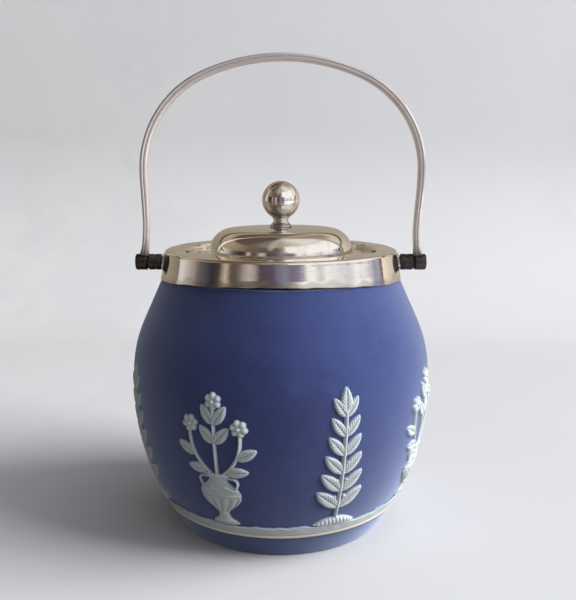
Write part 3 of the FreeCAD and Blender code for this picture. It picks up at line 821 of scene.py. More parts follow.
@dataclass
class ReliefField:
    """Height field of one applied sprig, on a flat grid that is then pressed on the pot's curve.

    Every form adds its own height, rising steeply from its edge, and the field keeps the highest.
    Outside its forms the field sinks under the pot's surface.
    """

    half_width: float
    low: float
    high: float
    step: float = 0.2
    sunk: float = 0.35

    def __post_init__(self) -> None:
        """Lay out the grid."""
        across = np.arange(-self.half_width, self.half_width + self.step, self.step)
        up = np.arange(self.low, self.high + self.step, self.step)
        self.x, self.z = np.meshgrid(across, up)
        self.height = np.full(self.x.shape, -1.0)

    def add(self, height: Array) -> None:
        """Keep the higher of the field and a new form."""
        self.height = np.maximum(self.height, height)

    @staticmethod
    def swell(inside: Array, depth: float, soft: float) -> Array:
        """Height from the distance inside an edge: depth * (1 - exp(-d / soft)), and -d * 3 outside."""
        return np.where(inside > 0, depth * (1 - np.exp(-np.maximum(inside, 0) / soft)), inside * 3.0)

    def leaf(self, root: Pair, angle: float, length: float, width: float, depth: float) -> None:
        """Pointed leaf with a midrib and slanting veins.

        Its half width at a share s of its length is width / 2 * (4 s (1 - s))^0.75, drawn towards the root.

        Args:
            root: Where it grows from.
            angle: Lean from upright.
            length: From root to tip.
            width: At its widest.
            depth: Height of its middle.
        """
        dx, dz = self.x - root[0], self.z - root[1]
        along = dx * math.sin(angle) + dz * math.cos(angle)
        side = dx * math.cos(angle) - dz * math.sin(angle)
        share = np.clip(along / length, 1e-4, 1 - 1e-4)
        drawn = share ** 0.85
        half = width / 2 * (4 * drawn * (1 - drawn)) ** 0.75
        beyond = np.maximum(np.maximum(-along, along - length), 0)
        inside = half - np.abs(side) - beyond
        body = self.swell(inside, depth, 0.38)
        rib = 0.36 * depth * np.exp(-(side / 0.26) ** 2)
        vein = 0.1 * depth * np.sin((along - np.abs(side) * 1.1) * 4.6) * np.clip(inside / 0.5, 0, 1)
        curl = 0.3 * depth * (np.abs(side) / (width / 2)) ** 2
        shaped = body * 0.8 + np.where(inside > 0, vein - rib + curl, 0)
        self.add(shaped)

    def stalk(self, start: Pair, end: Pair, bulge: float, width: float,
              depth: float) -> None:
        """Round stalk along a shallow bow, which stands out from its chord by 4 b s (1 - s)."""
        run = np.subtract(end, start)
        length = float(np.hypot(*run))
        share = np.linspace(0, 1, 28)
        out = 4 * bulge * share * (1 - share)
        path = np.array(start)[None] + run[None] * share[:, None] + np.outer(out, [-run[1], run[0]]) / length
        distance = np.full(self.x.shape, np.inf)
        for first, last in zip(path, path[1:]):
            leg = last - first
            along = np.clip(((self.x - first[0]) * leg[0] + (self.z - first[1]) * leg[1]) / (leg @ leg), 0, 1)
            distance = np.minimum(distance,
                                  np.hypot(self.x - first[0] - along * leg[0],
                                           self.z - first[1] - along * leg[1]))
        self.add(self.swell(width / 2 - distance, depth, 0.3))

    def bloom(self, centre: Pair, radius: float, depth: float, petals: int = 6, turn: float = 0.0) -> None:
        """Open flower: petals round a raised button, with a cleft between each two."""
        dx, dz = self.x - centre[0], self.z - centre[1]
        distance = np.hypot(dx, dz)
        wave = np.abs(np.cos(petals / 2 * (np.arctan2(dx, dz) + turn)))
        inside = radius * (0.8 + 0.2 * wave) - distance
        cup = 0.5 + 0.5 * np.clip(distance / radius, 0, 1) * wave ** 0.7
        petal = self.swell(inside, depth * 0.9, 0.5) * np.where(inside > 0, cup, 1)
        button = self.swell(radius * 0.3 - distance, depth, 0.35)
        self.add(np.maximum(petal, button))

    def berry(self, centre: Pair, radius: float, depth: float) -> None:
        """Round berry."""
        self.add(self.swell(radius - np.hypot(self.x - centre[0], self.z - centre[1]), depth, 0.32))

    def piece(self, name: str, curve: BarrelCurve, turn_deg: float) -> Object:
        """Press the field on the pot and close it behind.

        The front grid lies at the field's height outside the curve and the back grid just under it.
        Only cells that reach above the surface are kept, and their outer edges are joined by walls.

        Args:
            name: The piece's name.
            curve: The pot's curve.
            turn_deg: Place round the pot.

        Returns:
            The new object.
        """
        top = np.clip(self.height, -self.sunk, None)
        lifted = np.maximum.reduce([top[:-1, :-1], top[1:, :-1], top[:-1, 1:], top[1:, 1:]])
        keep = lifted > -self.sunk + 0.02
        rows, columns = top.shape
        index = np.arange(rows * columns).reshape(rows, columns)
        quads = np.stack([index[:-1, :-1][keep], index[:-1, 1:][keep], index[1:, 1:][keep],
                          index[1:, :-1][keep]], axis=1)
        count = rows * columns
        edges = np.vstack([quads[:, [k, (k + 1) % 4]] for k in range(4)])
        key = edges[:, 0] * count + edges[:, 1]
        twin = edges[:, 1] * count + edges[:, 0]
        rim = edges[~np.isin(key, twin)]
        walls = np.stack([rim[:, 1], rim[:, 0], rim[:, 0] + count, rim[:, 1] + count], axis=1)
        faces = np.vstack([quads, quads[:, ::-1] + count, walls])
        points = []
        for offset in (top, np.full(top.shape, -self.sunk - 0.25)):
            radius = curve.radius(self.z, offset)
            front = -np.sqrt(radius ** 2 - self.x ** 2)
            points.append(np.stack([self.x, front, self.z], axis=2).reshape(-1, 3))
        flat = np.vstack(points)
        angle = math.radians(turn_deg)
        spun = np.stack([flat[:, 0] * math.cos(angle) - flat[:, 1] * math.sin(angle),
                         flat[:, 0] * math.sin(angle) + flat[:, 1] * math.cos(angle), flat[:, 2]], axis=1)
        used, place = np.unique(faces, return_inverse=True)
        # how far a point lies below its neighbours, stored for painted shade in the relief's hollows
        around = (np.roll(top, 2, 0) + np.roll(top, -2, 0) + np.roll(top, 2, 1) + np.roll(top, -2, 1)) / 4
        hollow = np.clip((around - top) * 8.0, 0, 1)
        values = {"relief": np.tile(np.clip(top, 0, 1).ravel(), 2)[used],
                  "hollow": np.tile(hollow.ravel(), 2)[used]}
        return make_piece(name, spun[used], place.reshape(faces.shape), values)


@dataclass
class Relief:
    """Eight white sprigs standing on the ground strip: vases of flowers and laurels by turns."""

    curve: BarrelCurve
    ground_top: float = 17.4
    spacing: float = 45.0
    repeats: int = 4
    vase_turn: float = -22.5
    vase_height: float = 24.0
    spray_height: float = 58.0
    side_height: float = 48.0
    spread: float = 10.5
    bulge: float = 3.5
    bloom_radius: float = 3.7
    laurel_height: float = 60.0
    leaf_length: float = 13.0
    leaf_width: float = 5.4
    leaf_pairs: int = 6
    low_depth: float = 1.15
    high_depth: float = 1.9

    def build(self, white: Material) -> None:
        """Press four sprigs of each kind on the pot.

        Args:
            white: The relief's material.
        """
        kinds = (("vase_sprig", self.vase_field(), "relief_vases", 0),
                 ("laurel_sprig", self.laurel_field(), "relief_laurels", 1))
        for name, shape, node, place in kinds:
            for repeat in range(self.repeats):
                turn = self.vase_turn + (place + 2 * repeat) * self.spacing
                piece = shape.piece(f"{name}_{repeat + 1}", self.curve, turn)
                seat(piece, Body.JAR, [node], white)

    def vase_field(self) -> ReliefField:
        """Footed fluted vase with three stalks of flowers.

        Returns:
            The field.
        """
        shape = ReliefField(17.5, self.ground_top, self.ground_top + self.spray_height)
        base = self.ground_top + self.vase_height - 1
        top = self.ground_top + self.spray_height - self.bloom_radius
        leaf_length, leaf_width = 9.5, 4.6
        shape.stalk((0, base), (0, top), 0.01, 1.5, self.low_depth)
        for side in (-1, 1):
            start = (side * 1.5, base)
            head = (side * self.spread, self.ground_top + self.side_height - self.bloom_radius)
            shape.stalk(start, head, -side * self.bulge, 1.5, self.low_depth)
            for share, lean in ((0.45, 42), (0.7, 34)):
                shape.leaf((0, base + share * (top - base)), side * math.radians(lean), leaf_length,
                           leaf_width, self.low_depth)
            for share, lean in ((0.12, 84), (0.45, 62)):
                root = self.on_bow(start, head, -side * self.bulge, share)
                shape.leaf(root, side * math.radians(lean), leaf_length,
                           leaf_width, self.low_depth)
            shape.bloom(head, self.bloom_radius, self.high_depth, 6, side * 0.3)
            shape.berry((side * 3.1, base + 15.5), 0.95, self.low_depth)
        shape.bloom((0, top), self.bloom_radius, self.high_depth)
        for side in (-1, 1):
            low = (side * 7.2, self.ground_top + 0.74 * self.vase_height)
            high = (side * 4.4, self.ground_top + 0.93 * self.vase_height)
            shape.stalk(low, high, -side * 2.6, 1.1, self.low_depth)
        shape.add(self.vase_height_field(shape))
        return shape

    @staticmethod
    def on_bow(start: Pair, end: Pair, bulge: float, share: float) -> Pair:
        """Point at a share of the way along a shallow bow."""
        run = (end[0] - start[0], end[1] - start[1])
        length = math.hypot(*run)
        out = 4 * bulge * share * (1 - share)
        return (start[0] + run[0] * share - run[1] / length * out,
                start[1] + run[1] * share + run[0] / length * out)

    def vase_height_field(self, shape: ReliefField) -> Array:
        """The vase in half round.

        Its half width w follows its outline; across it the height is 0.76 * depth * (1 - (x / w)^2)^0.55,
        with flutes as a sine of the angle whose sine is x / w, and rings at the foot, neck and lip.

        Args:
            shape: The field whose grid is used.

        Returns:
            Heights on the grid.
        """
        up = (shape.z - self.ground_top) / self.vase_height
        stations = np.array([0, 0.05, 0.12, 0.22, 0.3, 0.4, 0.52, 0.64, 0.74, 0.82, 0.88, 0.95, 1.0])
        halves = np.array([6.0, 5.6, 3.0, 2.0, 3.6, 6.6, 8.6, 9.0, 7.8, 5.2, 3.9, 4.6, 6.4])
        fine = np.linspace(0, 1, 240)
        padded = np.pad(np.interp(fine, stations, halves), 7, mode="edge")
        smooth = np.convolve(padded, np.ones(15) / 15, "valid")
        half = np.interp(np.clip(up, 0, 1), fine, smooth)
        across = np.clip(shape.x / half, -1, 1)
        inside = np.minimum(half - np.abs(shape.x), np.where(up > 1, (1 - up) * self.vase_height, 9.0))
        depth = self.high_depth * (0.72 + 0.28 * np.clip(half / 9, 0, 1))
        dome = 0.76 * depth * (1 - across ** 2) ** 0.55
        belly = np.clip((up - 0.25) / 0.04, 0, 1) * np.clip((0.56 - up) / 0.04, 0, 1)
        flutes = 0.6 * belly * (np.abs(np.sin(6 * np.arcsin(across))) - 0.5)
        rings = ((0.6, 0.016, 0.36), (0.22, 0.02, 0.34), (0.07, 0.022, 0.3),
                 (0.86, 0.014, 0.34), (0.975, 0.02, 0.4))
        band = sum(rise * np.exp(-((up - place) / wide) ** 2) for place, wide, rise in rings)
        swags = 0.42 * np.exp(-((up - 0.77 + 0.07 * np.abs(np.cos(3 * np.arcsin(across)))) / 0.017) ** 2)
        raised = np.minimum(dome + flutes + band + swags, self.high_depth)
        return np.where(inside > 0, np.minimum(raised, inside * 3.2), inside * 3.0)

    def laurel_field(self) -> ReliefField:
        """Upright laurel: stem, paired leaves that shrink towards the tip, berries and a grassy mound.

        Returns:
            The field.
        """
        shape = ReliefField(13.5, self.ground_top, self.ground_top + self.laurel_height)
        top = self.ground_top + self.laurel_height
        tip = top - self.leaf_length * 0.8
        shape.stalk((0, self.ground_top + 1), (0, tip + 1), 0.01, 1.7, self.low_depth)
        shape.leaf((0, tip), 0.0, self.leaf_length * 0.8, self.leaf_width * 0.9, self.low_depth)
        first = self.ground_top + 3.6 + 4.5
        for pair in range(self.leaf_pairs):
            share = pair / (self.leaf_pairs - 1)
            height = first + share * (tip - first - 1.5)
            size = 1 - 0.28 * share
            for side in (-1, 1):
                lean = side * math.radians(50 - 16 * share)
                shape.leaf((0, height), lean, self.leaf_length * size, self.leaf_width * size, self.low_depth)
                shape.berry((side * 2.0 * size, height + 5.2 * size), 0.85 * size, self.low_depth)
        radius = (9.5 ** 2 + 3.6 ** 2) / (2 * 3.6)
        distance = np.hypot(shape.x, shape.z - (self.ground_top + 3.6 - radius))
        blades = 0.25 * np.abs(np.sin(shape.x * 1.9 + 0.4 * np.sin(shape.z * 1.3)))
        mound = shape.swell(radius - distance, self.high_depth * 0.8, 0.7)
        shape.add(np.where(radius > distance, mound * (0.85 + blades), mound))
        return shape


# Metalwork


@dataclass
class Collar:
    """Plated collar, its ledge and throat, and the plaster behind it."""

    curve: BarrelCurve
    sheet: float = 1.0
    radius: float = 52.0
    top: float = 124.0
    corner: float = 1.6
    mouth: float = 42.5
    lip: float = 1.6
    squeeze_start: float = 119.5
    skirt_front: float = 113.7
    side_drop: float = 2.8
    edge_thickness: float = 0.4
    clearance: float = 0.12
    seat_height: float = 120.8
    seat_outer: float = 46.5
    throat: float = 40.2
    throat_depth: float = 9.0
    shade_and_tarnish_line: float = 0.8
    stain_height: float = 3.4
    stain_fade: float = 1.6
    stain_share: float = 0.3

    @property
    def widening(self) -> float:
        """How much the wall's radius grows for each unit that it goes down.

        From the foot, at distance d and angle p from the corner's centre, the wall touches the corner's
        arc of radius c at the tilt p + acos(c / d); its tangent is the widening.
        """
        low = self.skirt_front - self.side_drop
        foot = float(self.curve.radius(low)) + self.clearance + self.edge_thickness
        across = foot - (self.radius - self.corner)
        up = low - (self.top - self.corner)
        return math.tan(math.atan2(up, across) + math.acos(self.corner / math.hypot(across, up)))

    def wall_radius(self, height: float) -> float:
        """Radius of the wall's outer face at a height."""
        low = self.skirt_front - self.side_drop
        foot = float(self.curve.radius(low)) + self.clearance + self.edge_thickness
        return foot - (height - low) * self.widening

    def build(self, frame: dict, silver: Material, plaster: Material) -> None:
        """Spin the collar and the seat, and dress the plaster.

        Args:
            frame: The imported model.
            silver: The plate's material.
            plaster: The bed's material.
        """
        low = self.skirt_front - self.side_drop
        foot = float(self.curve.radius(low)) + self.clearance
        inner_top = self.radius - self.sheet
        outline = rounded_path([
            (foot + self.edge_thickness, low, 0.15), (self.wall_radius(self.top), self.top, self.corner),
            (self.mouth, self.top, self.lip),
            (self.mouth, self.seat_height + 0.02, 0.1),
            (self.mouth + self.sheet, self.seat_height + 0.02, 0.1),
            (self.mouth + self.sheet, self.top - self.sheet, 0.6),
            (inner_top, self.top - self.sheet, 0.6), (foot, low, 0.15)], True, 0.45)
        above = outline[:, 1:] - low
        piece = turned_piece("collar_band", outline, True, 480, self.worked,
                             lambda points: {"grime": self.tarnish_and_shade(above, points)})
        seat(piece, Body.JAR, ["rim_collar"], silver)
        under = self.seat_height - self.sheet
        ledge = rounded_path([
            (self.throat, self.seat_height - self.throat_depth, 0.4),
            (self.throat + self.sheet, self.seat_height - self.throat_depth, 0.4),
            (self.throat + self.sheet, under, 0.2), (self.seat_outer, under, 0.2),
            (self.seat_outer, self.seat_height, 0.2), (self.throat, self.seat_height, 0.7)], True, 0.8)
        piece = turned_piece("lid_ledge", ledge, True, 256)
        seat(piece, Body.JAR, ["lid_seat_ring"], silver)
        dress(frame, "plaster_bed", plaster)

    def tarnish_and_shade(self, above: Array, points: Array) -> Array:
        """A dark line along the wall's edge, partly painted shade where the collar meets the pot and partly
        tarnish, and a paler tarnish stain whose top edge wanders.

        Args:
            above: Heights above the wall's lowest edge before it was worked, one for each row.
            points: Grid of points.

        Returns:
            Shares of tarnish and painted shade on the grid.
        """
        angle = np.arctan2(points[..., 1], points[..., 0])
        patchy = np.clip(0.65 + waves(angle, {5: 0.2, 13: 0.2, 29: 0.25}, 25), 0.3, 1.0)
        # painted shade and tarnish: a dark, patchy line at the wall's lowest edge, where the collar meets the
        # pot
        line = np.clip(1 - above / self.shade_and_tarnish_line, 0, 1) ** 1.5 * patchy
        limit = self.stain_height + waves(angle, {7: 0.6, 16: 0.7, 27: 0.6, 43: 0.5}, 27)
        stain = np.clip((limit - above) / self.stain_fade, 0, 1) * self.stain_share
        return np.maximum(line, stain)

    def worked(self, radius: Array, height: Array, angle: Array) -> tuple[Array, Array]:
        """The wall's edge rises to the front and back, and the sheet is wavy from being worked by hand.

        Below squeeze_start the wall is squeezed in height by a share of drop * sin(a)^2, and its radius
        stays on the same cone; the rest is sums of sines round the axis.
        """
        low = self.skirt_front - self.side_drop
        share = np.clip((self.squeeze_start - height) / (self.squeeze_start - low), 0, 1)
        ripple = waves(angle, {9: 0.10, 17: 0.10, 31: 0.09, 47: 0.06}, 21)
        rise = self.side_drop * np.sin(angle) ** 2 + 0.15 * (1 + np.sin(2 * angle)) + ripple * 0.6 + 0.1
        drawn = radius - share * rise * self.widening
        outer = np.clip((height - low - 0.2) / 4, 0, 1) * np.clip((radius - self.radius + 1.2) / 0.3, 0, 1)
        outer = outer * np.clip((self.top - height) / 2, 0, 1)
        bulge = np.sin(np.clip((height - low) / (self.top - low), 0, 1) * math.pi)
        dents = waves(angle, {3: 0.05, 8: 0.04, 15: 0.02, 27: 0.008}, 22) - 0.1
        buckle = waves(angle, {6: 0.03, 13: 0.02, 22: 0.01}, 24) * bulge - 0.05
        foot = np.clip(1 - (height - low) / 6, 0, 1) ** 2
        buckle = buckle + foot * (waves(angle, {19: 0.035, 33: 0.03, 52: 0.016}, 26) - 0.06)
        crown = np.clip((height - self.top + 1.2) / 1.1, 0, 1)
        flat = waves(angle, {4: 0.04, 11: 0.03, 21: 0.02}, 23) - 0.09
        return drawn + outer * (dents + buckle), height + share * rise + crown * flat


@dataclass
class Lid:
    """Spun lid with its locating ring."""

    brim: float = 42.0
    brim_low: float = 120.8
    sheet: float = 1.0
    wall: float = 32.1
    apex: float = 133.6
    crown: float = 400.0
    shoulder: float = 10.0
    hole: float = 2.2
    ring_outer: float = 39.6
    ring_depth: float = 5.0
    land_drop: float = 0.1

    def dome(self, inset: float, step: float) -> Array:
        """Dome from the wall's top to the centre hole, moved inward by an inset.

        The shoulder is an arc of the shoulder's radius, and the crown an arc about a point far below on
        the axis; the two share a tangent.

        Args:
            inset: How far inside the outer face.
            step: Distance between points.

        Returns:
            Distance from the axis and height of each point.
        """
        centre = self.apex - self.crown
        arm = self.wall - self.shoulder
        lift = math.sqrt((self.crown - self.shoulder) ** 2 - arm ** 2)
        join = math.atan2(lift, arm)
        turn = np.linspace(0, join, 28)
        radius = self.shoulder - inset
        shoulder = np.stack([arm + radius * np.cos(turn), centre + lift + radius * np.sin(turn)], axis=1)
        big = self.crown - inset
        reach = np.linspace(big * math.cos(join), self.hole, int(arm / step))[1:]
        height = centre + np.sqrt(big ** 2 - reach ** 2)
        height = np.minimum(height, self.apex - inset - self.land_drop)
        return np.vstack([shoulder, np.stack([reach, height], axis=1)])

    def build(self, silver: Material) -> None:
        """Spin the lid and the ring under it.

        Args:
            silver: The plate's material.
        """
        top = self.brim_low + self.sheet
        wall_foot = rounded_path([(self.wall - self.sheet, self.brim_low, 0.2),
                                  (self.brim, self.brim_low, 0.35),
                                  (self.brim, top, 0.45), (self.wall, top, 0.8),
                                  (self.wall, top + 1.0, 0)], False, 0.6)
        outline = np.vstack([wall_foot, self.dome(0.0, 0.55), self.dome(self.sheet, 0.9)[::-1]])
        piece = turned_piece("lid_spun_cover", outline, True, 360, self.spun)
        seat(piece, Body.LID, ["lid_cover"], silver)
        low = self.brim_low - self.ring_depth
        inner = self.ring_outer - self.sheet
        ring = rounded_path([(inner, low, 0.3), (self.ring_outer, low, 0.3),
                             (self.ring_outer, self.brim_low - 0.01, 0.05),
                             (inner, self.brim_low - 0.01, 0.05)], True, 0.8)
        piece = turned_piece("lid_guide_ring", ring, True, 256)
        seat(piece, Body.LID, ["lid_locating_ring"], silver)

    def spun(self, radius: Array, height: Array, angle: Array) -> tuple[Array, Array]:
        """Faint rings from the spinning tool, a slightly uneven crown and a soft dent in the brim."""
        top = np.clip((height - self.brim_low - 2.2) / 3, 0, 1)
        inner = np.clip(radius / 10, 0, 1)
        rings = 0.006 * np.sin(radius * 2.9)
        swell = waves(angle, {2: 0.05, 3: 0.04, 5: 0.02}, 31) * inner - 0.05
        brim = np.clip((radius - self.wall - 1) / 4, 0, 1)
        return radius, height + top * (rings + swell) + brim * (waves(angle, {5: 0.02, 9: 0.015}, 32) * 0.5)


@dataclass
class Knob:
    """Ball knob on its turned neck, with washer and nut under the lid."""

    radius: float = 8.4
    centre: float = 145.5
    foot: float = 133.5
    foot_radius: float = 5.0
    foot_thickness: float = 0.9
    waist: float = 3.3
    cup: float = 4.2
    stud: float = 2.0
    stud_length: float = 6.2
    ball_underside_shade: float = 0.62

    def build(self, frame: dict, silver: Material, brass: Material) -> None:
        """Turn the ball and the neck.

        Args:
            frame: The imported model.
            silver: The plate's material.
            brass: The material of the fixings.
        """
        cup_height = self.centre - math.sqrt(self.radius ** 2 - self.cup ** 2)
        start = math.asin((cup_height - self.centre) / self.radius)
        turn = np.linspace(start, math.pi / 2, 90)
        ball = np.stack([self.radius * np.cos(turn), self.centre + self.radius * np.sin(turn)], axis=1)
        ball[-1, 0] = 0.0
        ball = np.vstack([[[0.0, cup_height]], ball])
        # painted shade: the ball is darkened from just above its middle down to the neck, where it is darkest
        dull = np.clip((self.centre + 1.0 - ball[:, 1:]) / self.radius, 0, 1) * self.ball_underside_shade
        piece = turned_piece("knob_sphere", ball, False, 160, None,
                             lambda points: {"grime": np.repeat(dull, points.shape[1], axis=1)})
        seat(piece, Body.LID, ["knob_ball"], silver)
        low = self.foot + self.foot_thickness
        share = np.linspace(0, 1, 24)
        ends = self.foot_radius - 0.35 + (self.cup - self.foot_radius + 0.35) * share
        waist = ends - (ends.mean() - self.waist) * np.sin(math.pi * share)
        neck = np.stack([waist, low + (cup_height - 0.02 - low) * share], axis=1)
        below = rounded_path([(0, self.foot - self.stud_length, 0),
                              (self.stud, self.foot - self.stud_length, 0.4),
                              (self.stud, self.foot + 0.02, 0.1), (self.foot_radius, self.foot + 0.02, 0.3),
                              (self.foot_radius, low - 0.1, 0.3),
                              (self.foot_radius - 0.4, low, 0)], False, 0.5)
        outline = np.vstack([below, neck, [[0.0, cup_height - 0.02]]])
        # painted shade: the whole neck is darkened, most in the crease just above its foot
        crease = np.exp(-((outline[:, 1:] - low) / 0.5) ** 2) * 0.25 + 0.3
        piece = turned_piece("knob_stem", outline, False, 128, None,
                             lambda points: {"grime": np.repeat(crease, points.shape[1], axis=1)})
        seat(piece, Body.LID, ["knob_neck"], silver)
        dress(frame, "knob_washer", brass)
        dress(frame, "knob_nut", brass)


@dataclass
class Bail:
    """Reeded bow handle."""

    pivot: float = 117.7
    rise: float = 89.1
    half_width: float = 61.74
    crown: float = 85.6
    shoulder: float = 45.1
    waist: float = 60.7
    waist_rise: float = 15.5
    root: float = 62.4
    thickness: float = 3.1
    depth: float = 5.6
    leg_thickness: float = 2.6
    leg_depth: float = 5.0
    root_thickness: float = 5.0
    root_depth: float = 6.0
    root_length: float = 5.5
    reed: float = 0.55
    barrel: float = 3.6
    lean: float = 0.9
    root_darkening: float = 1.35
    root_darkening_height: float = 9.0

    def shoulder_centre(self) -> Pair:
        """Centre of the shoulder arc: distance from the middle, and rise above the pivot."""
        across = self.half_width - self.shoulder
        gap = self.crown - self.shoulder
        return across, self.rise - self.crown + math.sqrt(gap ** 2 - across ** 2)

    def half_path(self) -> tuple[Array, Array]:
        """Middle line of the right half, from the root to the top, as distances and rises.

        The leg draws in to a waist as the smooth step 3 s^2 - 2 s^3 and swings out to the root as s^2;
        above it come the shoulder arc and the crown arc.

        Returns:
            Distances from the middle and rises above the pivot.
        """
        across, top = self.shoulder_centre()
        low = math.sqrt(self.barrel ** 2 - 1.3 ** 2) - 0.35
        rise = np.linspace(low, top, 110)[:-1]
        up = np.clip((rise - self.waist_rise) / (top - self.waist_rise), 0, 1)
        down = np.clip((self.waist_rise - rise) / self.waist_rise, 0, 1)
        leg = self.waist + (self.half_width - self.waist) * (3 * up ** 2 - 2 * up ** 3)
        leg = leg + (self.root - self.waist) * down ** 2
        join = math.atan2(top - (self.rise - self.crown), across)
        first = np.linspace(0, join, 70)
        second = np.linspace(join, math.pi / 2, 40)[1:]
        x = np.concatenate([leg, across + self.shoulder * np.cos(first), self.crown * np.cos(second)])
        z = np.concatenate([rise, top + self.shoulder * np.sin(first),
                            self.rise - self.crown + self.crown * np.sin(second)])
        x[-1] = 0.0
        return x, z

    def section(self) -> tuple[Array, Array, Array, Array]:
        """Section across the bail: flat inside, two beads on each cheek and three reeds outside.

        A point stands out by a * thickness / 2 + b and lies c * depth / 2 across. A bead or reed at a
        share t of its width stands sqrt(1 - (2 t - 1)^2) high.

        Returns:
            The shares a, b and c of each point, and how deep in a crease it lies.
        """
        flat = np.linspace(0.8, -0.8, 9)
        cheek = np.linspace(0, 1, 27)[1:-1]
        reeds = np.linspace(-1, 1, 43)
        bump = self.bead((reeds + 1) * 1.5)
        side = self.bead(cheek * 2)
        swell = 0.8 + 0.12 * np.sin(cheek * math.pi / 2) + 0.08 * side
        a = np.concatenate([-np.ones(9), -1 + 2 * cheek, np.ones(43), 1 - 2 * cheek])
        b = np.concatenate([np.zeros(9), -self.reed * cheek ** 3, self.reed * (bump - 1),
                            -self.reed * (1 - cheek) ** 3])
        c = np.concatenate([flat, -swell, reeds * 0.94, swell[::-1]])
        crease = np.concatenate([np.zeros(9), 1 - side, 1 - bump, 1 - side[::-1]])
        return a, b, c, crease ** 2

    @staticmethod
    def bead(place: Array) -> Array:
        """Height of a row of half-round beads, each one wide."""
        share = place - np.floor(np.clip(place, 0, np.nextafter(place.max(), 0)))
        return np.sqrt(np.clip(1 - (2 * share - 1) ** 2, 0, 1))

    def build(self, silver: Material) -> None:
        """Carry the section along both halves of the path.

        The bow leans a little to one side by lean * sin(h)^2, with h growing to a quarter turn at the
        shoulder, as if it had been pushed.

        Args:
            silver: The bail's material.
        """
        x, z = self.half_path()
        x = np.concatenate([x, -x[-2::-1]])
        z = np.concatenate([z, z[-2::-1]])
        top = self.shoulder_centre()[1]
        x = x + self.lean * np.sin(np.clip(z / top, 0, 1) * math.pi / 2) ** 2
        along_x, along_z = np.gradient(x), np.gradient(z)
        length = np.hypot(along_x, along_z)
        out_x, out_z = along_z / length, -along_x / length
        flare = np.clip(1 - z / (self.root_length * 1.4), 0, 1) ** 1.5
        swell = np.clip((z - self.waist_rise) / (top - self.waist_rise), 0, 1)
        swell = 3 * swell ** 2 - 2 * swell ** 3
        thick = self.leg_thickness + (self.root_thickness - self.leg_thickness) * flare
        thick = thick + (self.thickness - self.leg_thickness) * swell
        deep = (self.leg_depth + (self.root_depth - self.leg_depth) * flare
                + (self.depth - self.leg_depth) * swell)
        place = np.linspace(0, 1, len(x))
        worn = 1 - 0.35 * np.exp(-((place - 0.5) / 0.09) ** 2)
        a, b, c, crease = self.section()
        out = thick[:, None] / 2 * a[None] + worn[:, None] * b[None]
        wobble = waves(place * 2 * math.pi, {3: 0.05, 5: 0.04, 9: 0.03}, 41) * np.sin(place * math.pi)
        points = np.stack([x[:, None] + out_x[:, None] * out,
                           deep[:, None] / 2 * c[None] + wobble[:, None] * 0.6,
                           self.pivot + z[:, None] + out_z[:, None] * out], axis=2)
        # painted shade: darker in the grooves between the reeds and beads, by how deep each point lies in its
        # crease
        grime = np.clip(crease[None] * (0.75 + waves(place * 40, {1: 0.2, 3: 0.15}, 42)[:, None]), 0, 1)
        # darker towards the roots at the pivots, fading out about a dozen millimetres up
        grime = np.maximum(grime, np.clip(self.root_darkening - z / self.root_darkening_height, 0, 1)[:, None] ** 1.5)
        ends = [np.repeat(ring.mean(axis=0)[None, None], points.shape[1], axis=1)
                for ring in (points[0], points[-1])]
        points = np.concatenate([ends[0], points, ends[1]], axis=0)
        grime = np.concatenate([grime[:1], grime, grime[-1:]], axis=0)
        faces = grid_faces(points.shape[0], points.shape[1], False, True)
        piece = make_piece("bail_reeded_bow", points, faces, {"grime": grime})
        seat(piece, Body.BAIL, ["bail_arch"], silver)


